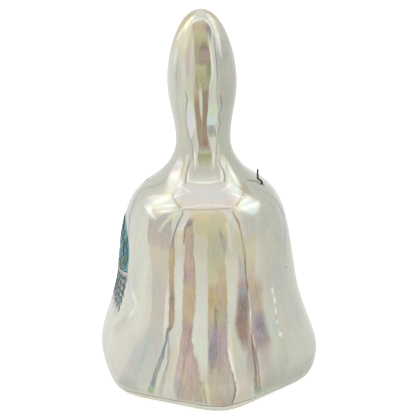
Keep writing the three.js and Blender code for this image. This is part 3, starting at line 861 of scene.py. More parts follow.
@dataclass(frozen=True)
class PearlLustre:
    """A pale glaze under a thin metal film that shifts between rose, gold and violet, with painted
    highlights, reflections and shade in its colour.
    """

    name: str
    low: float  # the ends of the part of the bell that it covers, in millimetres
    high: float
    roughness: float = 0.03
    metallic: float = 0.18
    coat: float = 0.55
    film_index: float = 1.75
    films: tuple[float, ...] = (122.0, 250.0, 296.0, 372.0)  # straw, straw, rose and sea green, in nanometres
    sway: float = 0.9  # how far the film's edges waver slowly, and fray, in degrees
    fray: float = 2.2
    lip_height: float = 3.4  # of the bare glaze left at the rim, in millimetres
    lip_drop: float = 0.9  # how much lower the lip is at the sides
    speck_angle: float = 61.4
    speck_height: float = 44.0
    speck_radius: float = 0.32

    def material(self) -> bpy.types.Material:
        """Mixes the finish.

        Returns:
            The material of the bell's outside.
        """
        recipe = Recipe.material(self.name)
        x, y, z = recipe.split(recipe.turned_point(-FRONT_TURN))
        height = z / MM
        radius = x.hypot(y)
        mottle = Mottle.over(recipe, x / radius, y / radius, z)
        loose = 0.12 + height.eased(70.0, 62.0) * 0.88 + height.eased(86.0, 94.0) * 0.45
        waver = (mottle.broad + mottle.fine - 1.0) * self.sway + (mottle.blots - 0.5) * self.fray
        angle = x.degrees_from(abs(y)) + waver * loose
        turn = angle / Band.HALF_TURN + 0.5
        ragged = height + (mottle.patches * 2.0 + mottle.fine - 1.5) * loose

        bare = self._glaze(recipe, mottle, height.eased(84.0, 96.0))
        colour = bare
        # The bands paint highlights, reflections and shade into the colour, as well as the lustre's streaks
        for run in FILM_AND_PAINTED_LIGHT:
            if run.reaches(self.low, self.high):
                colour = run.lay(recipe, colour, turn, ragged)
        colour = recipe.mix(0.75 + mottle.fine * 0.3 + mottle.blots * 0.15, bare, colour)
        colour = self._wear(recipe, mottle, colour)
        drop = abs(angle).eased(20.0, 55.0) * self.lip_drop
        wavy = height + drop + (mottle.broad - 0.5) * 1.2 + (mottle.patches - 0.5) * 0.8
        colour = self._rim(recipe, colour, wavy)
        colour = self._speck(recipe, colour, x.degrees_from(y * -1.0), height, radius)
        return recipe.finished(self._gloss(recipe, mottle, colour))

    @staticmethod
    def _glaze(recipe: Recipe, mottle: Mottle, upper: Signal) -> Socket:
        """Mixes the pale glaze that shows where there is no film.

        Args:
            recipe: The material.
            mottle: The noises.
            upper: How much a place belongs to the handle, which has longer strands.

        Returns:
            The colour.
        """
        bare = recipe.mix(mottle.broad.eased(0.4, 0.75) * 0.45, Hue.PEARL.value, Hue.CREAM.value)
        bare = recipe.mix(mottle.patches.eased(0.5, 0.78) * 0.4, bare, Hue.MIST.value)
        bare = recipe.mix(mottle.fine.eased(0.55, 0.72) * 0.5, bare, Hue.CHALK.value)
        bare = recipe.mix(mottle.fine.eased(0.45, 0.28) * 0.2, bare, Hue.STONE.value)
        bare = recipe.mix(upper * mottle.strands.eased(0.47, 0.36) * 0.35, bare, Hue.PEWTER.value)
        return recipe.mix(upper * mottle.strands.eased(0.55, 0.66) * 0.5, bare, Hue.CHALK.value)

    @staticmethod
    def _wear(recipe: Recipe, mottle: Mottle, colour: Socket) -> Socket:
        """Breaks up the darker film with flecks, blots and grit.

        Args:
            recipe: The material.
            mottle: The noises.
            colour: The glaze with its film.

        Returns:
            The broken colour.
        """
        filmy = recipe.channels(colour)[1].eased(0.64, 0.42)
        colour = recipe.mix(filmy * mottle.fine.eased(0.52, 0.72) * 0.35, colour, Hue.CREAM.value)
        colour = recipe.mix(0.02 + filmy * mottle.blots.eased(0.5, 0.68) * 0.25, colour, Hue.AMBER.value)
        colour = recipe.mix(filmy * mottle.blots.eased(0.5, 0.32) * 0.35, colour, Hue.LAVENDER.value)
        colour = recipe.mix(filmy * mottle.fine.eased(0.46, 0.3) * 0.4, colour, Hue.UMBER.value)
        return recipe.mix(0.25 + filmy * 0.5, colour, 0.6 + mottle.grit * 0.8, "MULTIPLY")

    def _gloss(self, recipe: Recipe, mottle: Mottle, colour: Paint) -> Socket:
        """Adds the gloss, with a film whose thickness drifts over the bell.

        Args:
            recipe: The material.
            mottle: The noises.
            colour: The finished colour.

        Returns:
            The shader.
        """
        relief = recipe.noise(recipe.point(), 420.0, 2.0) * 0.6 + mottle.fine * 0.4
        shared = {
            "Base Color": colour,
            "Roughness": self.roughness + mottle.fine * 0.03,
            "Metallic": self.metallic,
            "Coat Weight": self.coat,
            "Coat Roughness": 0.03,
            "Thin Film IOR": self.film_index,
            "Normal": recipe.bump(relief, 0.02 * MM, 0.5),
        }
        straw, lemon, rose, green = (
            recipe.principled({**shared, "Thin Film Thickness": film}) for film in self.films
        )
        plain = recipe.blend(mottle.broad.eased(0.4, 0.6), straw, lemon)
        vivid = recipe.blend(mottle.swirl.eased(0.45, 0.55), rose, green)
        return recipe.blend(mottle.patches.eased(0.4, 0.64) * 0.7, plain, vivid)

    def _rim(self, recipe: Recipe, colour: Paint, height: Signal) -> Socket:
        """Adds the bare lip and the thin dark edge where the film stops.

        Args:
            recipe: The material.
            colour: What lies above the rim.
            height: Wavering height, in millimetres.

        Returns:
            The colour with the rim.
        """
        lip = recipe.mix(height.eased(2.4, 1.6) * 0.5, Hue.LIP.value, Hue.CREAM.value)
        colour = recipe.mix(height.eased(self.lip_height + 0.2, self.lip_height - 0.1), colour, lip)
        line = abs(height - self.lip_height).eased(0.5, 0.15)
        return recipe.mix(line * 0.7, colour, Hue.UMBER.value)

    def _speck(
        self, recipe: Recipe, colour: Paint, angle: Signal, height: Signal, radius: Signal
    ) -> Socket:
        """Adds the dark pinhole in the glaze.

        Args:
            recipe: The material.
            colour: What lies round it.
            angle: Angle from the brushed front, in degrees.
            height: Height, in millimetres.
            radius: Distance from the axis, in metres.

        Returns:
            The colour with the pinhole.
        """
        across = (angle - self.speck_angle) * radius * (math.radians(1) / MM)
        apart = across.hypot(height - self.speck_height)
        hole = apart.eased(self.speck_radius * 1.3, self.speck_radius * 0.7)
        return recipe.mix(hole, colour, Hue.PINHOLE.value)


@dataclass(frozen=True)
class PlainGlaze:
    """A clear glaze over pale clay, faintly speckled."""

    name: str
    colour: Colour
    speckle: Colour
    shade: Colour = display(222, 216, 200)
    roughness: float = 0.16
    coat: float = 0.4

    def material(self) -> bpy.types.Material:
        """Mixes the finish.

        Returns:
            The material.
        """
        recipe = Recipe.material(self.name)
        place = recipe.point()
        cloud = recipe.noise(place, 60.0, 4.0)
        grain = recipe.noise(place, 900.0, 2.0)
        colour = recipe.mix(cloud.eased(0.4, 0.7) * 0.5, self.colour, self.shade)
        colour = recipe.mix(grain.eased(0.66, 0.74) * 0.35, colour, self.speckle)
        shader = recipe.principled(
            {
                "Base Color": colour,
                "Roughness": self.roughness + cloud * 0.1,
                "Coat Weight": self.coat,
                "Normal": recipe.bump(recipe.noise(place, 350.0, 3.0), 0.03 * MM, 0.6),
            }
        )
        return recipe.finished(shader)


@dataclass(frozen=True)
class DarkWire:
    """Annealed iron wire, browned where it has been bent and handled."""

    name: str
    iron: Colour = display(52, 48, 44)
    brown: Colour = display(96, 70, 48)
    bright: Colour = display(118, 112, 102)

    def material(self) -> bpy.types.Material:
        """Mixes the finish.

        Returns:
            The material.
        """
        recipe = Recipe.material(self.name)
        place = recipe.point()
        rust = recipe.noise(place, 700.0, 4.0, 0.65)
        drawn = recipe.noise(place, 5200.0, 2.0)
        rusted = rust.eased(0.46, 0.66)
        colour = recipe.mix(rusted, self.iron, self.brown)
        colour = recipe.mix(drawn.eased(0.55, 0.8) * 0.5, colour, self.bright)
        shader = recipe.principled(
            {
                "Base Color": colour,
                "Metallic": 0.85 - rusted * 0.5,
                "Roughness": 0.34 + rust * 0.35,
                "Normal": recipe.bump(drawn, 0.015 * MM, 0.7),
            }
        )
        return recipe.finished(shader)


@dataclass(frozen=True)
class PrintInk:
    """A fired print colour that shades from the root of each shape to its tip."""

    name: str
    root: Shade
    middle: Shade
    tip: Shade
    veins: Shade
    vein_share: float = 0.5

    def material(self) -> bpy.types.Material:
        """Mixes the finish.

        Returns:
            The material, which reads the shapes' own UV map.
        """
        recipe = Recipe.material(self.name)
        place = recipe.node("ShaderNodeUVMap", {"uv_map": "UVMap"}).outputs["UV"]
        across, along, _ = recipe.split(place)
        cloud = recipe.noise(recipe.point(), 330.0, 3.0)
        stripes = recipe.noise(recipe.join(across * 9.0, along * 1.1, cloud), 1.6, 2.0)
        stops = [(0.0, display(*self.root)), (0.5, display(*self.middle)), (1.0, display(*self.tip))]
        shade = recipe.ramp(along + (cloud - 0.5) * 0.5, stops).outputs["Color"]
        colour = recipe.mix(stripes.eased(0.5, 0.68) * self.vein_share, shade, display(*self.veins))
        shader = recipe.principled(
            {"Base Color": colour, "Roughness": 0.3 + cloud * 0.15, "Specular IOR Level": 0.2}
        )
        return recipe.finished(shader)


class Ink(Enum):
    """The colours of the flower print, each one object."""

    LINES = PrintInk("print_lines", (38, 52, 58), (48, 66, 70), (58, 80, 82), (30, 38, 42))
    LEAVES = PrintInk("print_leaves", (66, 104, 92), (98, 138, 108), (150, 178, 142), (62, 92, 84))
    GROUND = PrintInk("print_ground", (112, 162, 168), (98, 156, 172), (92, 148, 168), (134, 180, 186))
    PETALS = PrintInk("print_petals", (34, 82, 112), (62, 128, 156), (108, 168, 186), (44, 96, 128))
    HEARTS = PrintInk("print_hearts", (196, 166, 84), (222, 198, 112), (236, 218, 150), (150, 112, 52))


Finish = PearlLustre | PlainGlaze | DarkWire | PrintInk


class Bench:
    """Modelling moves that the pieces share, all made with operators."""

    WIRE_ROUNDING = 4  # how finely a wire's section is cut

    @staticmethod
    def clear() -> None:
        """Deselects everything in object mode."""
        bpy.ops.object.select_all(action="DESELECT")

    @staticmethod
    def edit() -> None:
        """Enters edit mode with all of the piece selected."""
        bpy.ops.object.mode_set(mode="EDIT")
        bpy.ops.mesh.select_all(action="SELECT")

    @staticmethod
    def leave() -> None:
        """Goes back to object mode."""
        bpy.ops.object.mode_set(mode="OBJECT")

    @staticmethod
    def named(name: str) -> Piece:
        """Names the object that was just added.

        Args:
            name: Its name, and that of its data.

        Returns:
            The object.
        """
        piece = bpy.context.object
        piece.name = name
        piece.data.name = name
        return piece

    @classmethod
    def trace(cls, name: str, points: Sequence[Vector]) -> Piece:
        """Draws a chain of edges by extruding a vertex.

        Args:
            name: The new object's name.
            points: Where the chain goes.

        Returns:
            The object, selected and active.
        """
        cls.clear()
        bpy.ops.mesh.primitive_plane_add(size=MM)
        piece = cls.named(name)
        cls.edit()
        bpy.ops.mesh.merge(type="CENTER")
        bpy.ops.transform.translate(value=points[0])
        for here, there in zip(points, points[1:]):
            bpy.ops.mesh.extrude_region_move(TRANSFORM_OT_translate={"value": there - here})
        cls.leave()
        return piece

    @classmethod
    def close(cls) -> None:
        """Merges the active piece's doubles and points its faces outwards."""
        cls.edit()
        bpy.ops.mesh.remove_doubles(threshold=MERGE_DISTANCE)
        bpy.ops.mesh.normals_make_consistent(inside=False)
        cls.leave()

    @classmethod
    def turned(cls, name: str, section: Sequence[Vector], steps: int) -> Piece:
        """Spins a half section about Z.

        Args:
            name: The new object's name.
            section: The half section in the XZ plane.
            steps: Faces round the axis.

        Returns:
            The closed solid.
        """
        piece = cls.trace(name, section)
        cls.edit()
        bpy.ops.mesh.spin(steps=steps, angle=2 * math.pi, center=(0, 0, 0), axis=(0, 0, 1))
        cls.leave()
        cls.close()
        return piece

    @classmethod
    def tube(cls, name: str, points: Sequence[Vector], radius: float) -> Piece:
        """Draws a round wire along points.

        Args:
            name: The new object's name.
            points: The wire's centre line.
            radius: Half its thickness.

        Returns:
            The closed wire.
        """
        piece = cls.trace(name, points)
        bpy.ops.object.convert(target="CURVE")
        line = piece.data
        line.twist_mode = "MINIMUM"
        line.bevel_depth = radius
        line.bevel_resolution = cls.WIRE_ROUNDING
        line.use_fill_caps = True
        bpy.ops.object.convert(target="MESH")
        cls.close()
        return piece

    @staticmethod
    def apply(piece: Piece, kind: str, settings: Mapping[str, object]) -> None:
        """Adds a modifier to the active piece and applies it.

        Args:
            piece: The active piece.
            kind: The modifier's type.
            settings: Its properties.
        """
        modifier = piece.modifiers.new(kind.title(), kind)
        for key, value in settings.items():
            setattr(modifier, key, value)
        bpy.ops.object.modifier_apply(modifier=modifier.name)

    @classmethod
    def activate(cls, piece: Piece) -> None:
        """Selects one piece alone.

        Args:
            piece: The piece, which becomes the active one.
        """
        cls.clear()
        piece.select_set(True)
        bpy.context.view_layer.objects.active = piece

    @classmethod
    def smooth(cls, piece: Piece, degrees: float) -> None:
        """Shades a piece smooth up to an angle between faces."""
        cls.activate(piece)
        bpy.ops.object.shade_smooth_by_angle(angle=math.radians(degrees))

    @staticmethod
    def dress(piece: Piece, *finishes: Finish) -> None:
        """Gives a piece these finishes alone.

        Args:
            piece: The piece.
            finishes: Its finishes, in the order that its faces count them.
        """
        piece.data.materials.clear()
        for finish in finishes:
            piece.data.materials.append(finish.material())

    @staticmethod
    def hand_over(piece: Piece, body: str, slot: str, *nodes: str) -> None:
        """Ties a finished piece to the frame.

        Args:
            piece: The piece.
            body: The body that it rides on.
            slot: The record's material slot that its finish belongs to. Not used.
            nodes: The nodes that it stands for.
        """
        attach(piece, body)
        if nodes:
            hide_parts(*nodes)
        LOG.info("%s: %d faces, on %s", piece.name, len(piece.data.polygons), body)


@dataclass(frozen=True)
class Station:
    """A place on the shell's outline, and how the outline passes through it."""

    radius: float
    height: float
    slope: float
    hold_below: float
    hold_above: float


@dataclass
class BellShell:
    """The slip-cast shell: six-sided skirt, rounded shoulder and bulb handle, hollow throughout."""

    foot_radius: float = 36 * MM
    foot_width: float = 1.6 * MM
    lip_round: float = 1.8 * MM
    skirt_radius: float = 40.5 * MM
    skirt_rise: float = 9 * MM
    flank_radius: float = 32.7 * MM
    flank_rise: float = 28.2 * MM
    shoulder_radius: float = 18.9 * MM
    shoulder_rise: float = 35.1 * MM
    neck_radius: float = 9.6 * MM
    neck_rise: float = 15.4 * MM
    grip_radius: float = 12 * MM
    grip_rise: float = 20.5 * MM
    tip_rise: float = 24.8 * MM
    tip_hold: float = 0.63
    wall: float = 3.2 * MM
    corner_count: int = 6
    corner_turn: float = math.radians(17)
    skirt_corner: float = 0.95 * MM
    foot_corner: float = 1.6 * MM
    corner_fade_from: float = 20 * MM
    corner_fade_rise: float = 40 * MM
    overtone: float = 0.11
    hanger_height: float = 70.7 * MM
    hole_radius: float = 0.775 * MM
    steps_round: int = 216
    steps_per_stretch: int = 26
    drill_sides: int = 32
    edge_angle: float = 38.0
    facing_in: float = -0.05  # a face that looks outwards less than this belongs to the inside

    def __post_init__(self) -> None:
        """Works out the outline once."""
        self.stations = self._stations()
        self.outline = self._outline()

    def _stations(self) -> list[Station]:
        """Lists the places that the outline passes through.

        Returns:
            The stations from the skirt to the grip.
        """
        skirt = self.skirt_rise
        flank = skirt + self.flank_rise
        shoulder = flank + self.shoulder_rise
        neck = shoulder + self.neck_rise
        return [
            Station(self.skirt_radius, skirt, 0.0, 0.45, 0.16),
            Station(self.flank_radius, flank, -0.15, 0.46, 0.77),
            Station(self.shoulder_radius, shoulder, -1.35, 0.19, 0.26),
            Station(self.neck_radius, neck, 0.0, 0.4, 0.35),
            Station(self.grip_radius, neck + self.grip_rise, 0.0, 0.38, 0.42),
        ]

    @property
    def grip_height(self) -> float:
        """Height of the widest part of the handle."""
        return self.stations[-1].height

    @property
    def height(self) -> float:
        """Height of the whole bell."""
        return self.grip_height + self.tip_rise

    def _curve(self, *corners: Flat, steps: int | None = None) -> list[Vector]:
        """Samples a cubic curve of the half section.

        Args:
            corners: Its two ends and two handles in order, each a radius and a height.
            steps: How many steps to take, if not the usual number.

        Returns:
            Points in the XZ plane, both ends among them.
        """
        start, leave, reach, end = (Vector((radius, 0.0, up)) for radius, up in corners)
        return interpolate_bezier(start, leave, reach, end, (steps or self.steps_per_stretch) + 1)

    def _outline(self) -> list[Vector]:
        """Draws the outside of the half section.

        Returns:
            Points from the foot to the tip.
        """
        skirt, grip = self.stations[0], self.stations[-1]
        points = self._curve(
            (self.foot_radius, 0.0),
            (self.foot_radius + self.lip_round, 0.0),
            (self.skirt_radius, skirt.height * (1 - skirt.hold_below)),
            (self.skirt_radius, skirt.height),
        )
        for low, high in zip(self.stations, self.stations[1:]):
            rise = high.height - low.height
            leave, reach = low.hold_above * rise, high.hold_below * rise
            points += self._curve(
                (low.radius, low.height),
                (low.radius + low.slope * leave, low.height + leave),
                (high.radius - high.slope * reach, high.height - reach),
                (high.radius, high.height),
            )[1:]
        points += self._curve(
            (self.grip_radius, self.grip_height),
            (self.grip_radius, self.grip_height + grip.hold_above * self.tip_rise),
            (self.tip_hold * self.grip_radius, self.height),
            (0.0, self.height),
        )[1:]
        return points

    def _hollow(self) -> list[Vector]:
        """Draws the inside of the half section.

        Returns:
            Points from the foot to the inside of the tip.
        """
        skirt = self.stations[0]
        inner_foot = self.foot_radius - self.foot_width
        inner_skirt = self.skirt_radius - self.wall
        lip = self._curve(
            (inner_foot, 0.0),
            (inner_foot - self.lip_round, 0.0),
            (inner_skirt, skirt.height * (1 - skirt.hold_below)),
            (inner_skirt, skirt.height),
            steps=self.steps_per_stretch // 2,
        )
        sides = self.outline[self.steps_per_stretch :]
        inner = []
        for below, here, above in list(zip(sides, sides[1:], sides[2:]))[1::2]:
            along = (above - below).normalized()
            inner.append(here + Vector((-along.z, 0.0, along.x)) * self.wall)
        return [*lip, *inner, Vector((0.0, 0.0, self.height - self.wall))]

    def radius_at(self, up: float) -> float:
        """Gives the outline's mean radius at a height.

        Args:
            up: The height.

        Returns:
            The radius before the corners are added.
        """
        for low, high in zip(self.outline, self.outline[1:]):
            if high.z >= up:
                return low.x + (high.x - low.x) * (up - low.z) / (high.z - low.z)
        return 0.0

    def corner(self, angle: float, up: float) -> float:
        """Gives how far the six corners push the skin out.

        Args:
            angle: Angle from -Y towards +X, in radians.
            up: The height.

        Returns:
            The push, which is negative between corners.
        """
        fade_to = self.corner_fade_from + self.corner_fade_rise
        reach = self.skirt_corner * (1 - smoothstep(up, self.corner_fade_from, fade_to))
        reach += (self.foot_corner - self.skirt_corner) * (1 - smoothstep(up, 0.0, self.skirt_rise))
        phase = self.corner_count * (angle - self.corner_turn)
        return reach * (math.cos(phase) + self.overtone * math.cos(2 * phase))

    def skin(self, angle: float, up: float, lift: float = 0.0) -> Vector:
        """Gives a point on the outside.

        Args:
            angle: Angle from -Y towards +X, in radians.
            up: The height.
            lift: How far the point stands off the skin.

        Returns:
            The point.
        """
        radius = self.radius_at(up) + self.corner(angle, up) + lift
        return Vector((radius * math.sin(angle), -radius * math.cos(angle), up))

    def build(self) -> Piece:
        """Models the shell and dresses it.

        Returns:
            The shell.
        """
        piece = Bench.turned("glazed_shell", [*reversed(self.outline), *self._hollow()], self.steps_round)
        self._push_corners(piece)
        self._drill(piece)
        Bench.smooth(piece, self.edge_angle)
        self._dress(piece)
        Bench.hand_over(piece, "bell", "lustre_glaze", "bell_body")
        return piece

    def _push_corners(self, piece: Piece) -> None:
        """Moves the round shell's vertices out to its six soft corners.

        Args:
            piece: The round shell.
        """
        for vertex in piece.data.vertices:
            radius = math.hypot(vertex.co.x, vertex.co.y)
            if radius > MERGE_DISTANCE:
                push = self.corner(math.atan2(vertex.co.x, -vertex.co.y), vertex.co.z)
                vertex.co.xy *= 1 + push / radius

    def _drill(self, piece: Piece) -> None:
        """Cuts the two holes for the hanger.

        Args:
            piece: The shell.
        """
        Bench.clear()
        depth = 3 * self.skirt_radius
        bpy.ops.mesh.primitive_cylinder_add(vertices=self.drill_sides, radius=self.hole_radius, depth=depth)
        cutter = Bench.named("hanger_drill")
        Bench.edit()
        bpy.ops.transform.rotate(value=math.pi / 2, orient_axis="Y", center_override=(0, 0, 0))
        bpy.ops.transform.translate(value=(0, 0, self.hanger_height))
        Bench.leave()
        Bench.activate(piece)
        Bench.apply(piece, "BOOLEAN", {"operation": "DIFFERENCE", "object": cutter, "solver": "EXACT"})
        bpy.data.objects.remove(cutter)

    def _dress(self, piece: Piece) -> None:
        """Gives the outside its lustre and the inside its plain glaze.

        Args:
            piece: The shell.
        """
        zones = (
            PearlLustre("lustre_rim", 0, 20),
            PearlLustre("lustre_skirt", 20, 58),
            PearlLustre("lustre_shoulder", 58, 68),
            PearlLustre("lustre_crown", 68, 74),
            PearlLustre("lustre_neck", 74, 90),
            PearlLustre("lustre_handle", 90, 140),
        )
        lining = PlainGlaze("inside_glaze", display(232, 228, 216), display(190, 178, 156))
        Bench.dress(piece, *zones, lining)
        for face in piece.data.polygons:
            axis = Vector((0.0, 0.0, min(face.center.z, self.grip_height)))
            inside = (face.center - axis).normalized().dot(face.normal) < self.facing_in
            zone = sum(face.center.z > lustre.high * MM for lustre in zones)
            face.material_index = len(zones) if inside else zone


@dataclass
class BentWire:
    """Iron wire that is bent by hand over small rounds."""

    diameter: float = 0.65 * MM
    bend_radius: float = 0.7 * MM
    bend_steps: int = 8
    edge_angle: float = 50.0

    @property
    def radius(self) -> float:
        """Half the wire's thickness."""
        return self.diameter / 2

    def run(self, corners: Sequence[Vector]) -> list[Vector]:
        """Rounds off a wire's corners.

        Args:
            corners: Its ends, and the corners between them.

        Returns:
            The wire's centre line.
        """
        points = [corners[0]]
        for before, corner, after in zip(corners, corners[1:], corners[2:]):
            arrive, leave = (corner - before).normalized(), (after - corner).normalized()
            half = arrive.angle(leave) / 2
            inwards, onwards = (leave - arrive).normalized(), (leave + arrive).normalized()
            centre = corner + inwards * (self.bend_radius / math.cos(half))
            for step in range(self.bend_steps + 1):
                turn = half * (2 * step / self.bend_steps - 1)
                spoke = onwards * math.sin(turn) - inwards * math.cos(turn)
                points.append(centre + spoke * self.bend_radius)
        return [*points, corners[-1]]

    def draw(self, name: str, points: Sequence[Vector]) -> Piece:
        """Makes the wire along a centre line.

        Args:
            name: The new object's name.
            points: The centre line.

        Returns:
            The dressed wire.
        """
        piece = Bench.tube(name, points, self.radius)
        Bench.smooth(piece, self.edge_angle)
        Bench.dress(piece, DarkWire(f"{name}_finish"))
        return piece


@dataclass
class Hanger:
    """The wire through the shoulder that carries the clapper."""

    shell: BellShell
    wire: BentWire
    dip: float = 3 * MM
    dip_flat: float = 7 * MM
    dip_run: float = 4 * MM
    tuck: float = 3.7 * MM
    tail: float = 3.4 * MM
    cut_back: float = 0.5 * MM
    seat_gap: float = 0.3 * MM

    @property
    def pivot_height(self) -> float:
        """Height of the middle of the wire, where the clapper hangs."""
        return self.shell.hanger_height - self.dip

    def build(self) -> Piece:
        """Models the hanger.

        Returns:
            The wire.
        """
        up = self.shell.hanger_height
        beside = self.shell.radius_at(up)
        slope = (self.shell.radius_at(up + MM) - self.shell.radius_at(up - MM)) / (2 * MM)
        along = Vector((slope, 0.0, 1.0)).normalized()
        way_out = Vector((beside + (self.wire.radius + self.seat_gap) / along.z, 0.0, up))
        tucked = way_out + along * self.tuck
        half = [
            Vector((self.dip_flat / 2, 0.0, self.pivot_height)),
            Vector((self.dip_flat / 2 + self.dip_run, 0.0, up)),
            way_out,
        ]
        mirrored = [Vector((-point.x, point.y, point.z)) for point in reversed(half[:2])]
        cut_end = Vector((self.cut_back - beside, 0.0, up))
        standing = tucked + Vector((0.0, 0.0, self.tail))
        corners = [cut_end, *mirrored, *half, tucked, standing]
        piece = self.wire.draw("bent_hanger", self.wire.run(corners))
        Bench.hand_over(piece, "bell", "dark_wire", "hanger_wire")
        return piece


@dataclass
class Clapper:
    """The clapper: a wire with an eye at each end, and the glazed ball on it."""

    wire: BentWire
    pivot_height: float
    eye_bore: float = 3 * MM
    eye_neck: float = 1 * MM
    eye_from: float = 40.0
    eye_to: float = 330.0
    eye_steps: int = 40
    ball_radius: float = 8 * MM
    bore_radius: float = 0.825 * MM
    bore_round: float = 0.35 * MM
    lift: float = 6.5 * MM
    seat_gap: float = 0.3 * MM
    ball_rings: int = 40
    ball_steps: int = 72
    edge_angle: float = 40.0

    @property
    def eye_radius(self) -> float:
        """Radius of an eye on the wire's centre line."""
        return self.eye_bore / 2 + self.wire.radius

    @property
    def lower_eye(self) -> float:
        """Height of the lower eye's middle."""
        return self.lift + self.wire.radius + self.eye_radius

    @property
    def upper_eye(self) -> float:
        """Height of the upper eye's middle."""
        return self.pivot_height - (self.eye_bore / 2 - self.wire.radius - self.seat_gap)

    def _eye(self, height: float, side: int) -> list[Vector]:
        """Draws an eye in the swing's plane.

        Args:
            height: Of the eye's middle.
            side: 1 where the stem lies below it, -1 where it lies above.

        Returns:
            Points from the stem to the cut end.
        """
        points = [Vector((0.0, 0.0, height - side * (self.eye_radius + self.eye_neck)))]
        for step in range(self.eye_steps + 1):
            turn = math.radians(self.eye_from + (self.eye_to - self.eye_from) * step / self.eye_steps)
            across, up = self.eye_radius * math.sin(turn), height - side * self.eye_radius * math.cos(turn)
            points.append(Vector((0.0, across, up)))
        return points

    def build(self) -> None:
        """Models the wire and the ball."""
        points = [*reversed(self._eye(self.lower_eye, -1)), *self._eye(self.upper_eye, 1)]
        stem = self.wire.draw("eyed_stem", points)
        Bench.hand_over(stem, "clapper", "dark_wire", "clapper_wire")
        self._ball()

    def _ball(self) -> None:
        """Models the ball with its rounded bore."""
        start = math.asin((self.bore_radius + self.bore_round) / self.ball_radius)
        middle = math.sqrt(self.ball_radius**2 - self.bore_radius**2)
        height = self.lower_eye + self.eye_radius + self.eye_neck + middle
        mouth = self.ball_radius * math.cos(start) - self.bore_round
        section = []
        for ring in range(self.ball_rings + 1):
            turn = start + (math.pi - 2 * start) * ring / self.ball_rings
            across, down = self.ball_radius * math.sin(turn), self.ball_radius * math.cos(turn)
            section.append(Vector((across, 0.0, height - down)))
        section += [Vector((self.bore_radius, 0.0, height + side * mouth)) for side in (1, -1)]
        piece = Bench.turned("glazed_ball", [*section, section[0]], self.ball_steps)
        Bench.smooth(piece, self.edge_angle)
        Bench.dress(piece, PlainGlaze("ball_glaze", display(234, 229, 216), display(168, 150, 122)))
        Bench.hand_over(piece, "ball", "plain_glaze", "clapper_ball")


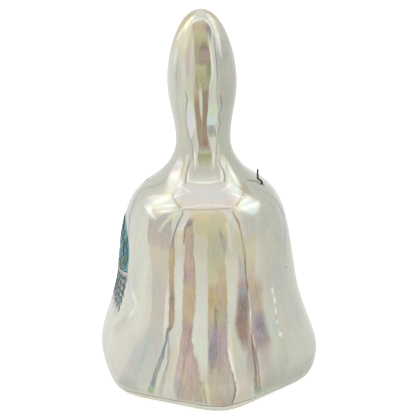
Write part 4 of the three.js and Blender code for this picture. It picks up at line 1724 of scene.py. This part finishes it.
@dataclass
class FlowerSpray:
    """A printed spray of blue flowers under one end of the hanger, fired onto the glaze."""

    shell: BellShell
    angle: float = math.radians(-90)
    base: float = 22 * MM
    thickness: float = 0.03 * MM
    outline_width: float = 0.16 * MM
    outline_overhang: float = 0.03  # how far an outline runs past each end, as a share of the length
    probe: float = 0.01  # half the share of a spine over which its heading is read
    edge_angle: float = 30.0
    first_lift: float = 0.02  # from here on in millimetres: how far the first shape stands off the glaze
    layer_lift: float = 0.0006  # and how much further each later one does
    ground_low: float = 17.9  # the ground's foot, widest place and top above the base
    ground_widest: float = 21.7
    ground_high: float = 38.8
    ground_width: float = 22.4  # half of it
    fronds_each_side: int = 12
    frond_gap: float = 1.84
    blade_places: tuple[float, ...] = (0.1, 0.26, 0.42, 0.58, 0.74)  # as shares of a frond's length

    def __post_init__(self) -> None:
        """Starts with no shapes drawn."""
        self.shapes: dict[Ink, list[Piece]] = {ink: [] for ink in Ink}
        self.layer = 0

    def build(self) -> None:
        """Draws the spray and joins each colour into one piece."""
        self._ground()
        self._fringe()
        self._stems()
        self._leaves()
        self._flowers()
        for ink, shapes in self.shapes.items():
            self._fire(ink, shapes)

    def _shape(self, ink: Ink, spine: Spine, half_width: Width, cells: tuple[int, int] = (4, 12)) -> None:
        """Draws one flat shape along a spine and lays it on the glaze.

        Args:
            ink: Its colour.
            spine: Place on the unrolled print for a share of the shape's length.
            half_width: Half its width there.
            cells: Faces across and along.
        """
        Bench.clear()
        bpy.ops.mesh.primitive_grid_add(x_subdivisions=cells[0], y_subdivisions=cells[1], size=1.0)
        piece = bpy.context.object
        self.layer += 1
        lift = (self.first_lift + self.layer_lift * self.layer) * MM
        for vertex in piece.data.vertices:
            share = vertex.co.y + 0.5
            place = spine(share)
            heading = (spine(share + self.probe) - spine(share - self.probe)).normalized()
            aside = Vector((heading.y, -heading.x)) * (2 * vertex.co.x * half_width(share))
            across, up = place + aside
            height = self.base + up
            vertex.co = self.shell.skin(self.angle + across / self.shell.flank_radius, height, lift)
        self.shapes[ink].append(piece)

    def _bordered(self, ink: Ink, spine: Spine, half_width: Width) -> None:
        """Draws a shape over a slightly wider dark one.

        Args:
            ink: Its colour.
            spine: Place on the unrolled print for a share of its length.
            half_width: Half its width there.
        """
        past = self.outline_overhang
        self._shape(
            Ink.LINES,
            lambda s: spine(s * (1 + 2 * past) - past),
            lambda s: half_width(s) + self.outline_width,
        )
        self._shape(ink, spine, half_width)

    @staticmethod
    def _bow(start: Flat, through: Flat, end: Flat) -> Spine:
        """Makes a bowed spine.

        Args:
            start: Where it starts on the unrolled print, in millimetres.
            through: The point that pulls it aside.
            end: Where it ends.

        Returns:
            The place for a share of its length.
        """
        first, pull, last = Vector(start) * MM, Vector(through) * MM, Vector(end) * MM
        return lambda s: first * (1 - s) ** 2 + pull * (2 * s * (1 - s)) + last * s**2

    @staticmethod
    def _taper(width: float, fullest: float = 0.75) -> Width:
        """Makes a width that starts and ends in a point.

        Args:
            width: Half the greatest width, in millimetres.
            fullest: Below 1 moves the greatest width towards the root, and above 1 towards the tip.

        Returns:
            Half the width for a share of the length.
        """
        return lambda s: width * MM * math.sin(math.pi * min(1.0, max(0.0, s)) ** fullest) ** 0.8

    @staticmethod
    def _round(radius: float) -> Width:
        """Makes the width of a disc.

        Args:
            radius: Its radius, in millimetres.

        Returns:
            Half the width for a share of its height.
        """
        return lambda s: radius * MM * math.sqrt(max(0.0, 1 - (2 * min(1.0, max(0.0, s)) - 1) ** 2))

    def _foot(self, across: float) -> float:
        """Gives the height of the ground line at a place across, both in millimetres."""
        return self.ground_low + (self.ground_widest - self.ground_low) * (across / self.ground_width) ** 2

    def _ground(self) -> None:
        """Draws the soft blue ground behind the flowers, arched above and bowed below."""
        low, widest, high, width = self.ground_low, self.ground_widest, self.ground_high, self.ground_width

        def rise(share: float) -> float:
            """Gives the height for a share, with the rows closer at both ends."""
            return low + (high - low) * (1 - math.cos(math.pi * share)) / 2

        def reach(share: float) -> float:
            """Gives half the ground's width.

            Args:
                share: How far up the ground.

            Returns:
                Half the width there.
            """
            below = min(1.0, (rise(share) - low) / (widest - low))
            above = max(0.0, (rise(share) - widest) / (high - widest))
            return width * MM * math.sqrt(max(0.0, below - above**3.2))

        self._shape(Ink.GROUND, lambda s: Vector((0, rise(s))) * MM, reach, (64, 64))
        line = self._bow((-width, widest), (0, 2 * low - widest), (width, widest))
        self._shape(Ink.LINES, line, lambda s: 0.2 * MM, (2, 60))

    def _fringe(self) -> None:
        """Draws drooping fronds under the ground, longer and shorter by turns, each with its side blades."""
        for step in range(-self.fronds_each_side, self.fronds_each_side + 1):
            across, swing = self.frond_gap * step, math.sin(2.4 * step)
            tip = (across * 0.8, 3.4 + 1.7 * swing)
            spine = self._bow((across, self._foot(across)), (across * 0.98 + 0.7 * swing, 12.0), tip)
            self._shape(Ink.LINES, spine, self._taper(0.22, 0.6), (2, 14))
            for share in self.blade_places:
                root = spine(share) / MM
                for side in (-1, 1):
                    end = (root.x + side * 0.85, root.y - 1.8)
                    blade = self._bow((root.x, root.y), (root.x + side * 0.7, root.y - 0.5), end)
                    self._shape(Ink.LINES if step % 2 else Ink.GROUND, blade, self._taper(0.2), (1, 5))

    def _stems(self) -> None:
        """Draws the stems, which rise from the ground line."""
        for side in (-1, 1):
            for root, reach, top in ((3.0, 8.2, 33), (6.0, 12.2, 26), (13.5, 18.6, 27.4), (4.0, 5.6, 22.0)):
                start, end = (side * root, self._foot(root)), (side * reach, top)
                pull = (side * (root * 0.3 + reach * 0.7), self._foot(reach) + 1.5)
                self._shape(Ink.LINES, self._bow(start, pull, end), lambda s: (0.3 - 0.12 * s) * MM, (2, 24))
        middle = self._bow((0, self._foot(0)), (0.6, 22), (0, 26))
        self._shape(Ink.LINES, middle, lambda s: 0.28 * MM, (2, 20))

    def _leaves(self) -> None:
        """Draws leaves in pairs beside the stems, each with its midrib."""
        for side in (-1, 1):
            for across, up, out, rise, width in (
                (1.4, 19.0, 2.6, 2.6, 0.9),
                (5.4, 19.2, 4.2, 1.0, 0.9),
                (9.8, 19.8, 4.2, 1.6, 1.0),
                (14.6, 20.6, 5.2, 1.8, 1.1),
                (18.8, 23.2, 1.6, 4.4, 1.1),
                (16.8, 30.0, 1.4, 3.0, 1.0),
                (4.4, 35.2, 2.0, 2.0, 0.8),
                (12.2, 32.2, 2.2, 2.0, 0.9),
            ):
                start = (side * across, up)
                end = (side * (across + out), up + rise)
                bulge = (side * (across + out * 0.5 + 0.2 * rise), up + rise * 0.5 + 0.25 * abs(out))
                spine = self._bow(start, bulge, end)
                self._bordered(Ink.LEAVES, spine, self._taper(width))
                self._shape(Ink.LINES, spine, lambda s: 0.09 * MM * (1.2 - s), (2, 10))

    def _flowers(self) -> None:
        """Draws the blossoms, small ones first."""
        for across, up, radius, petals, turn in (
            (-5.8, 22.6, 1.5, 5, 8),
            (5.8, 22.6, 1.5, 5, -12),
            (-18.6, 28.4, 1.7, 5, 18),
            (18.6, 28.4, 1.7, 5, -20),
            (-8.2, 34.4, 3.0, 5, 22),
            (8.2, 34.4, 3.0, 5, -26),
            (-12.2, 27.4, 4.6, 6, 12),
            (12.2, 27.4, 4.6, 6, -16),
            (0.0, 29.6, 6.2, 6, 0),
        ):
            self._flower(Vector((across, up)), radius, petals, math.radians(turn))

    def _flower(self, middle: Vector, radius: float, petals: int, turn: float) -> None:
        """Draws one blossom.

        Args:
            middle: Its middle on the unrolled print, in millimetres.
            radius: Its radius, in millimetres.
            petals: How many petals it has.
            turn: How far it is turned, in radians.
        """
        for petal in range(petals):
            heading = turn + 2 * math.pi * petal / petals
            out = Vector((math.sin(heading), math.cos(heading)))
            aside = Vector((out.y, -out.x)) * radius * 0.06
            root, pull, tip = (middle + out * radius * share for share in (0.08, 0.55, 1.0))
            spine = self._bow(root, pull + aside, tip)
            self._bordered(Ink.PETALS, spine, self._taper(radius * 2.05 / petals, 1.15))
            vein = self._bow(middle, middle + out * radius * 0.4 + aside, middle + out * radius * 0.72)
            self._shape(Ink.LINES, vein, lambda s: radius * 0.018 * MM * (1.3 - s), (2, 8))
        heart = radius * 0.2
        disc = self._bow(middle - Vector((0, heart)), middle, middle + Vector((0, heart)))
        self._bordered(Ink.HEARTS, disc, self._round(heart))

    def _fire(self, ink: Ink, shapes: Sequence[Piece]) -> None:
        """Joins the shapes of one colour and gives them their thickness.

        Args:
            ink: The colour.
            shapes: Its shapes.
        """
        Bench.clear()
        for shape in shapes:
            shape.select_set(True)
        bpy.context.view_layer.objects.active = shapes[0]
        bpy.ops.object.join()
        piece = Bench.named(ink.value.name)
        bpy.ops.object.transform_apply()
        Bench.apply(piece, "SOLIDIFY", {"thickness": self.thickness, "offset": -1.0})
        Bench.smooth(piece, self.edge_angle)
        Bench.dress(piece, ink.value)
        Bench.hand_over(piece, "bell", "lustre_glaze")


@dataclass(frozen=True)
class Glow:
    """A soft-edged patch of the room, by its direction from the bell in degrees."""

    azimuth: float
    elevation: float
    width: float
    height: float
    edge: float
    light: float

    def over(self, azimuth: Signal, elevation: Signal) -> Signal:
        """Gives the light that the patch adds.

        Args:
            azimuth: Direction from the camera's side towards its right.
            elevation: Direction above the floor.

        Returns:
            The added light, which is negative for a dim patch.
        """
        across = abs(azimuth - self.azimuth).eased(self.width / 2 + self.edge, self.width / 2 - self.edge)
        up = abs(elevation - self.elevation).eased(self.height / 2 + self.edge, self.height / 2 - self.edge)
        return across * up * self.light


@dataclass
class Studio:
    """A pale floor, a softly lit room and the camera."""

    azimuth: float = FRONT_AZIMUTH
    elevation: float = 21.71
    distance: float = 0.4088
    roll: float = math.radians(-1.242)
    aim_right: float = 1.12 * MM
    aim_down: float = 2.75 * MM
    target_height: float = 63.84 * MM
    lens: float = 98.82
    sensor: float = 36.0
    nearest: float = 10 * MM
    floor_side: float = 12.0
    floor_cuts: int = 4
    walls: float = 0.76
    ceiling: float = 0.9
    ceiling_from: float = 30.0  # where the walls start to brighten and the ceiling is reached, in degrees
    ceiling_to: float = 62.0
    floor_shine: float = 0.4
    floor_bounce: float = 0.28
    glows: tuple[Glow, ...] = (
        Glow(-103, 43, 34, 34, 6, 0.9),
        Glow(100, 45, 32, 28, 6, 0.9),
        Glow(-95, 5, 100, 40, 25, 0.15),
        Glow(34, 20, 7, 40, 2.5, 0.5),
        Glow(-36, 20, 9, 40, 3, 0.4),
    )

    def build(self) -> None:
        """Sets up the floor, the room and the camera."""
        self._floor()
        self._room()
        self._camera(Vector((0.0, 0.0, self.target_height)))

    def _floor(self) -> None:
        """Lays the pale floor, which shows brighter than it lights the bell."""
        Bench.clear()
        bpy.ops.mesh.primitive_plane_add(size=self.floor_side)
        floor = Bench.named("studio_floor")
        Bench.edit()
        bpy.ops.mesh.subdivide(number_cuts=self.floor_cuts)
        Bench.leave()
        recipe = Recipe.material("pale_floor")
        paper = recipe.noise(recipe.point(), 240.0, 3.0)
        colour = recipe.mix(paper, display(206, 206, 205), display(212, 212, 211))
        matt = recipe.principled({"Base Color": colour, "Roughness": 0.8})
        strength = recipe.seen() * self.floor_shine + self.floor_bounce
        shine = recipe.node("ShaderNodeEmission", inputs={"Strength": strength})
        both = recipe.node("ShaderNodeAddShader", inputs={0: matt, 1: shine.outputs[0]})
        floor.data.materials.append(recipe.finished(both.outputs[0]))

    def _room(self) -> None:
        """Fills the room with soft light from pale walls and side panels."""
        scene = bpy.context.scene
        scene.world = bpy.data.worlds.new("pale_room")
        scene.view_settings.view_transform = "Standard"
        recipe = Recipe(scene.world)
        x, y, z = recipe.split(recipe.turned_point(-FRONT_TURN, "Generated"))
        azimuth = x.degrees_from(y * -1.0)
        elevation = z.degrees_from(x.hypot(y))
        overhead = elevation.eased(self.ceiling_from, self.ceiling_to)
        light = self.walls + overhead * (self.ceiling - self.walls)
        for glow in self.glows:
            light = light + glow.over(azimuth, elevation)
        inputs = {"Color": display(253, 253, 251), "Strength": light + recipe.seen() * (1.0 - light)}
        background = recipe.node("ShaderNodeBackground", inputs=inputs)
        recipe.node("ShaderNodeOutputWorld", inputs={"Surface": background.outputs[0]})

    def _camera(self, target: Vector) -> None:
        """Sets the camera up.

        Args:
            target: The point on the axis that it was measured from.
        """
        back = heading_of(self.azimuth, self.elevation)
        place = target + back * self.distance
        right = Vector((math.cos(math.radians(self.azimuth)), math.sin(math.radians(self.azimuth)), 0.0))
        aim = target + right * self.aim_right - back.cross(right) * self.aim_down
        bpy.ops.object.camera_add(location=place)
        camera = Bench.named("camera")
        camera.rotation_mode = "QUATERNION"
        level = (aim - place).to_track_quat("-Z", "Y")
        camera.rotation_quaternion = level @ Quaternion((0.0, 0.0, 1.0), self.roll)
        camera.data.sensor_width = self.sensor
        camera.data.lens = self.lens
        camera.data.clip_start = self.nearest
        bpy.context.scene.camera = camera


def main() -> None:
    """Builds the studio and every piece of the bell."""
    logging.basicConfig(level=logging.INFO, format="%(name)s: %(message)s")
    Studio().build()
    shell = BellShell()
    shell.build()
    wire = BentWire()
    hanger = Hanger(shell, wire)
    hanger.build()
    Clapper(wire, hanger.pivot_height).build()
    FlowerSpray(shell).build()


if __name__ == "__main__":
    main()
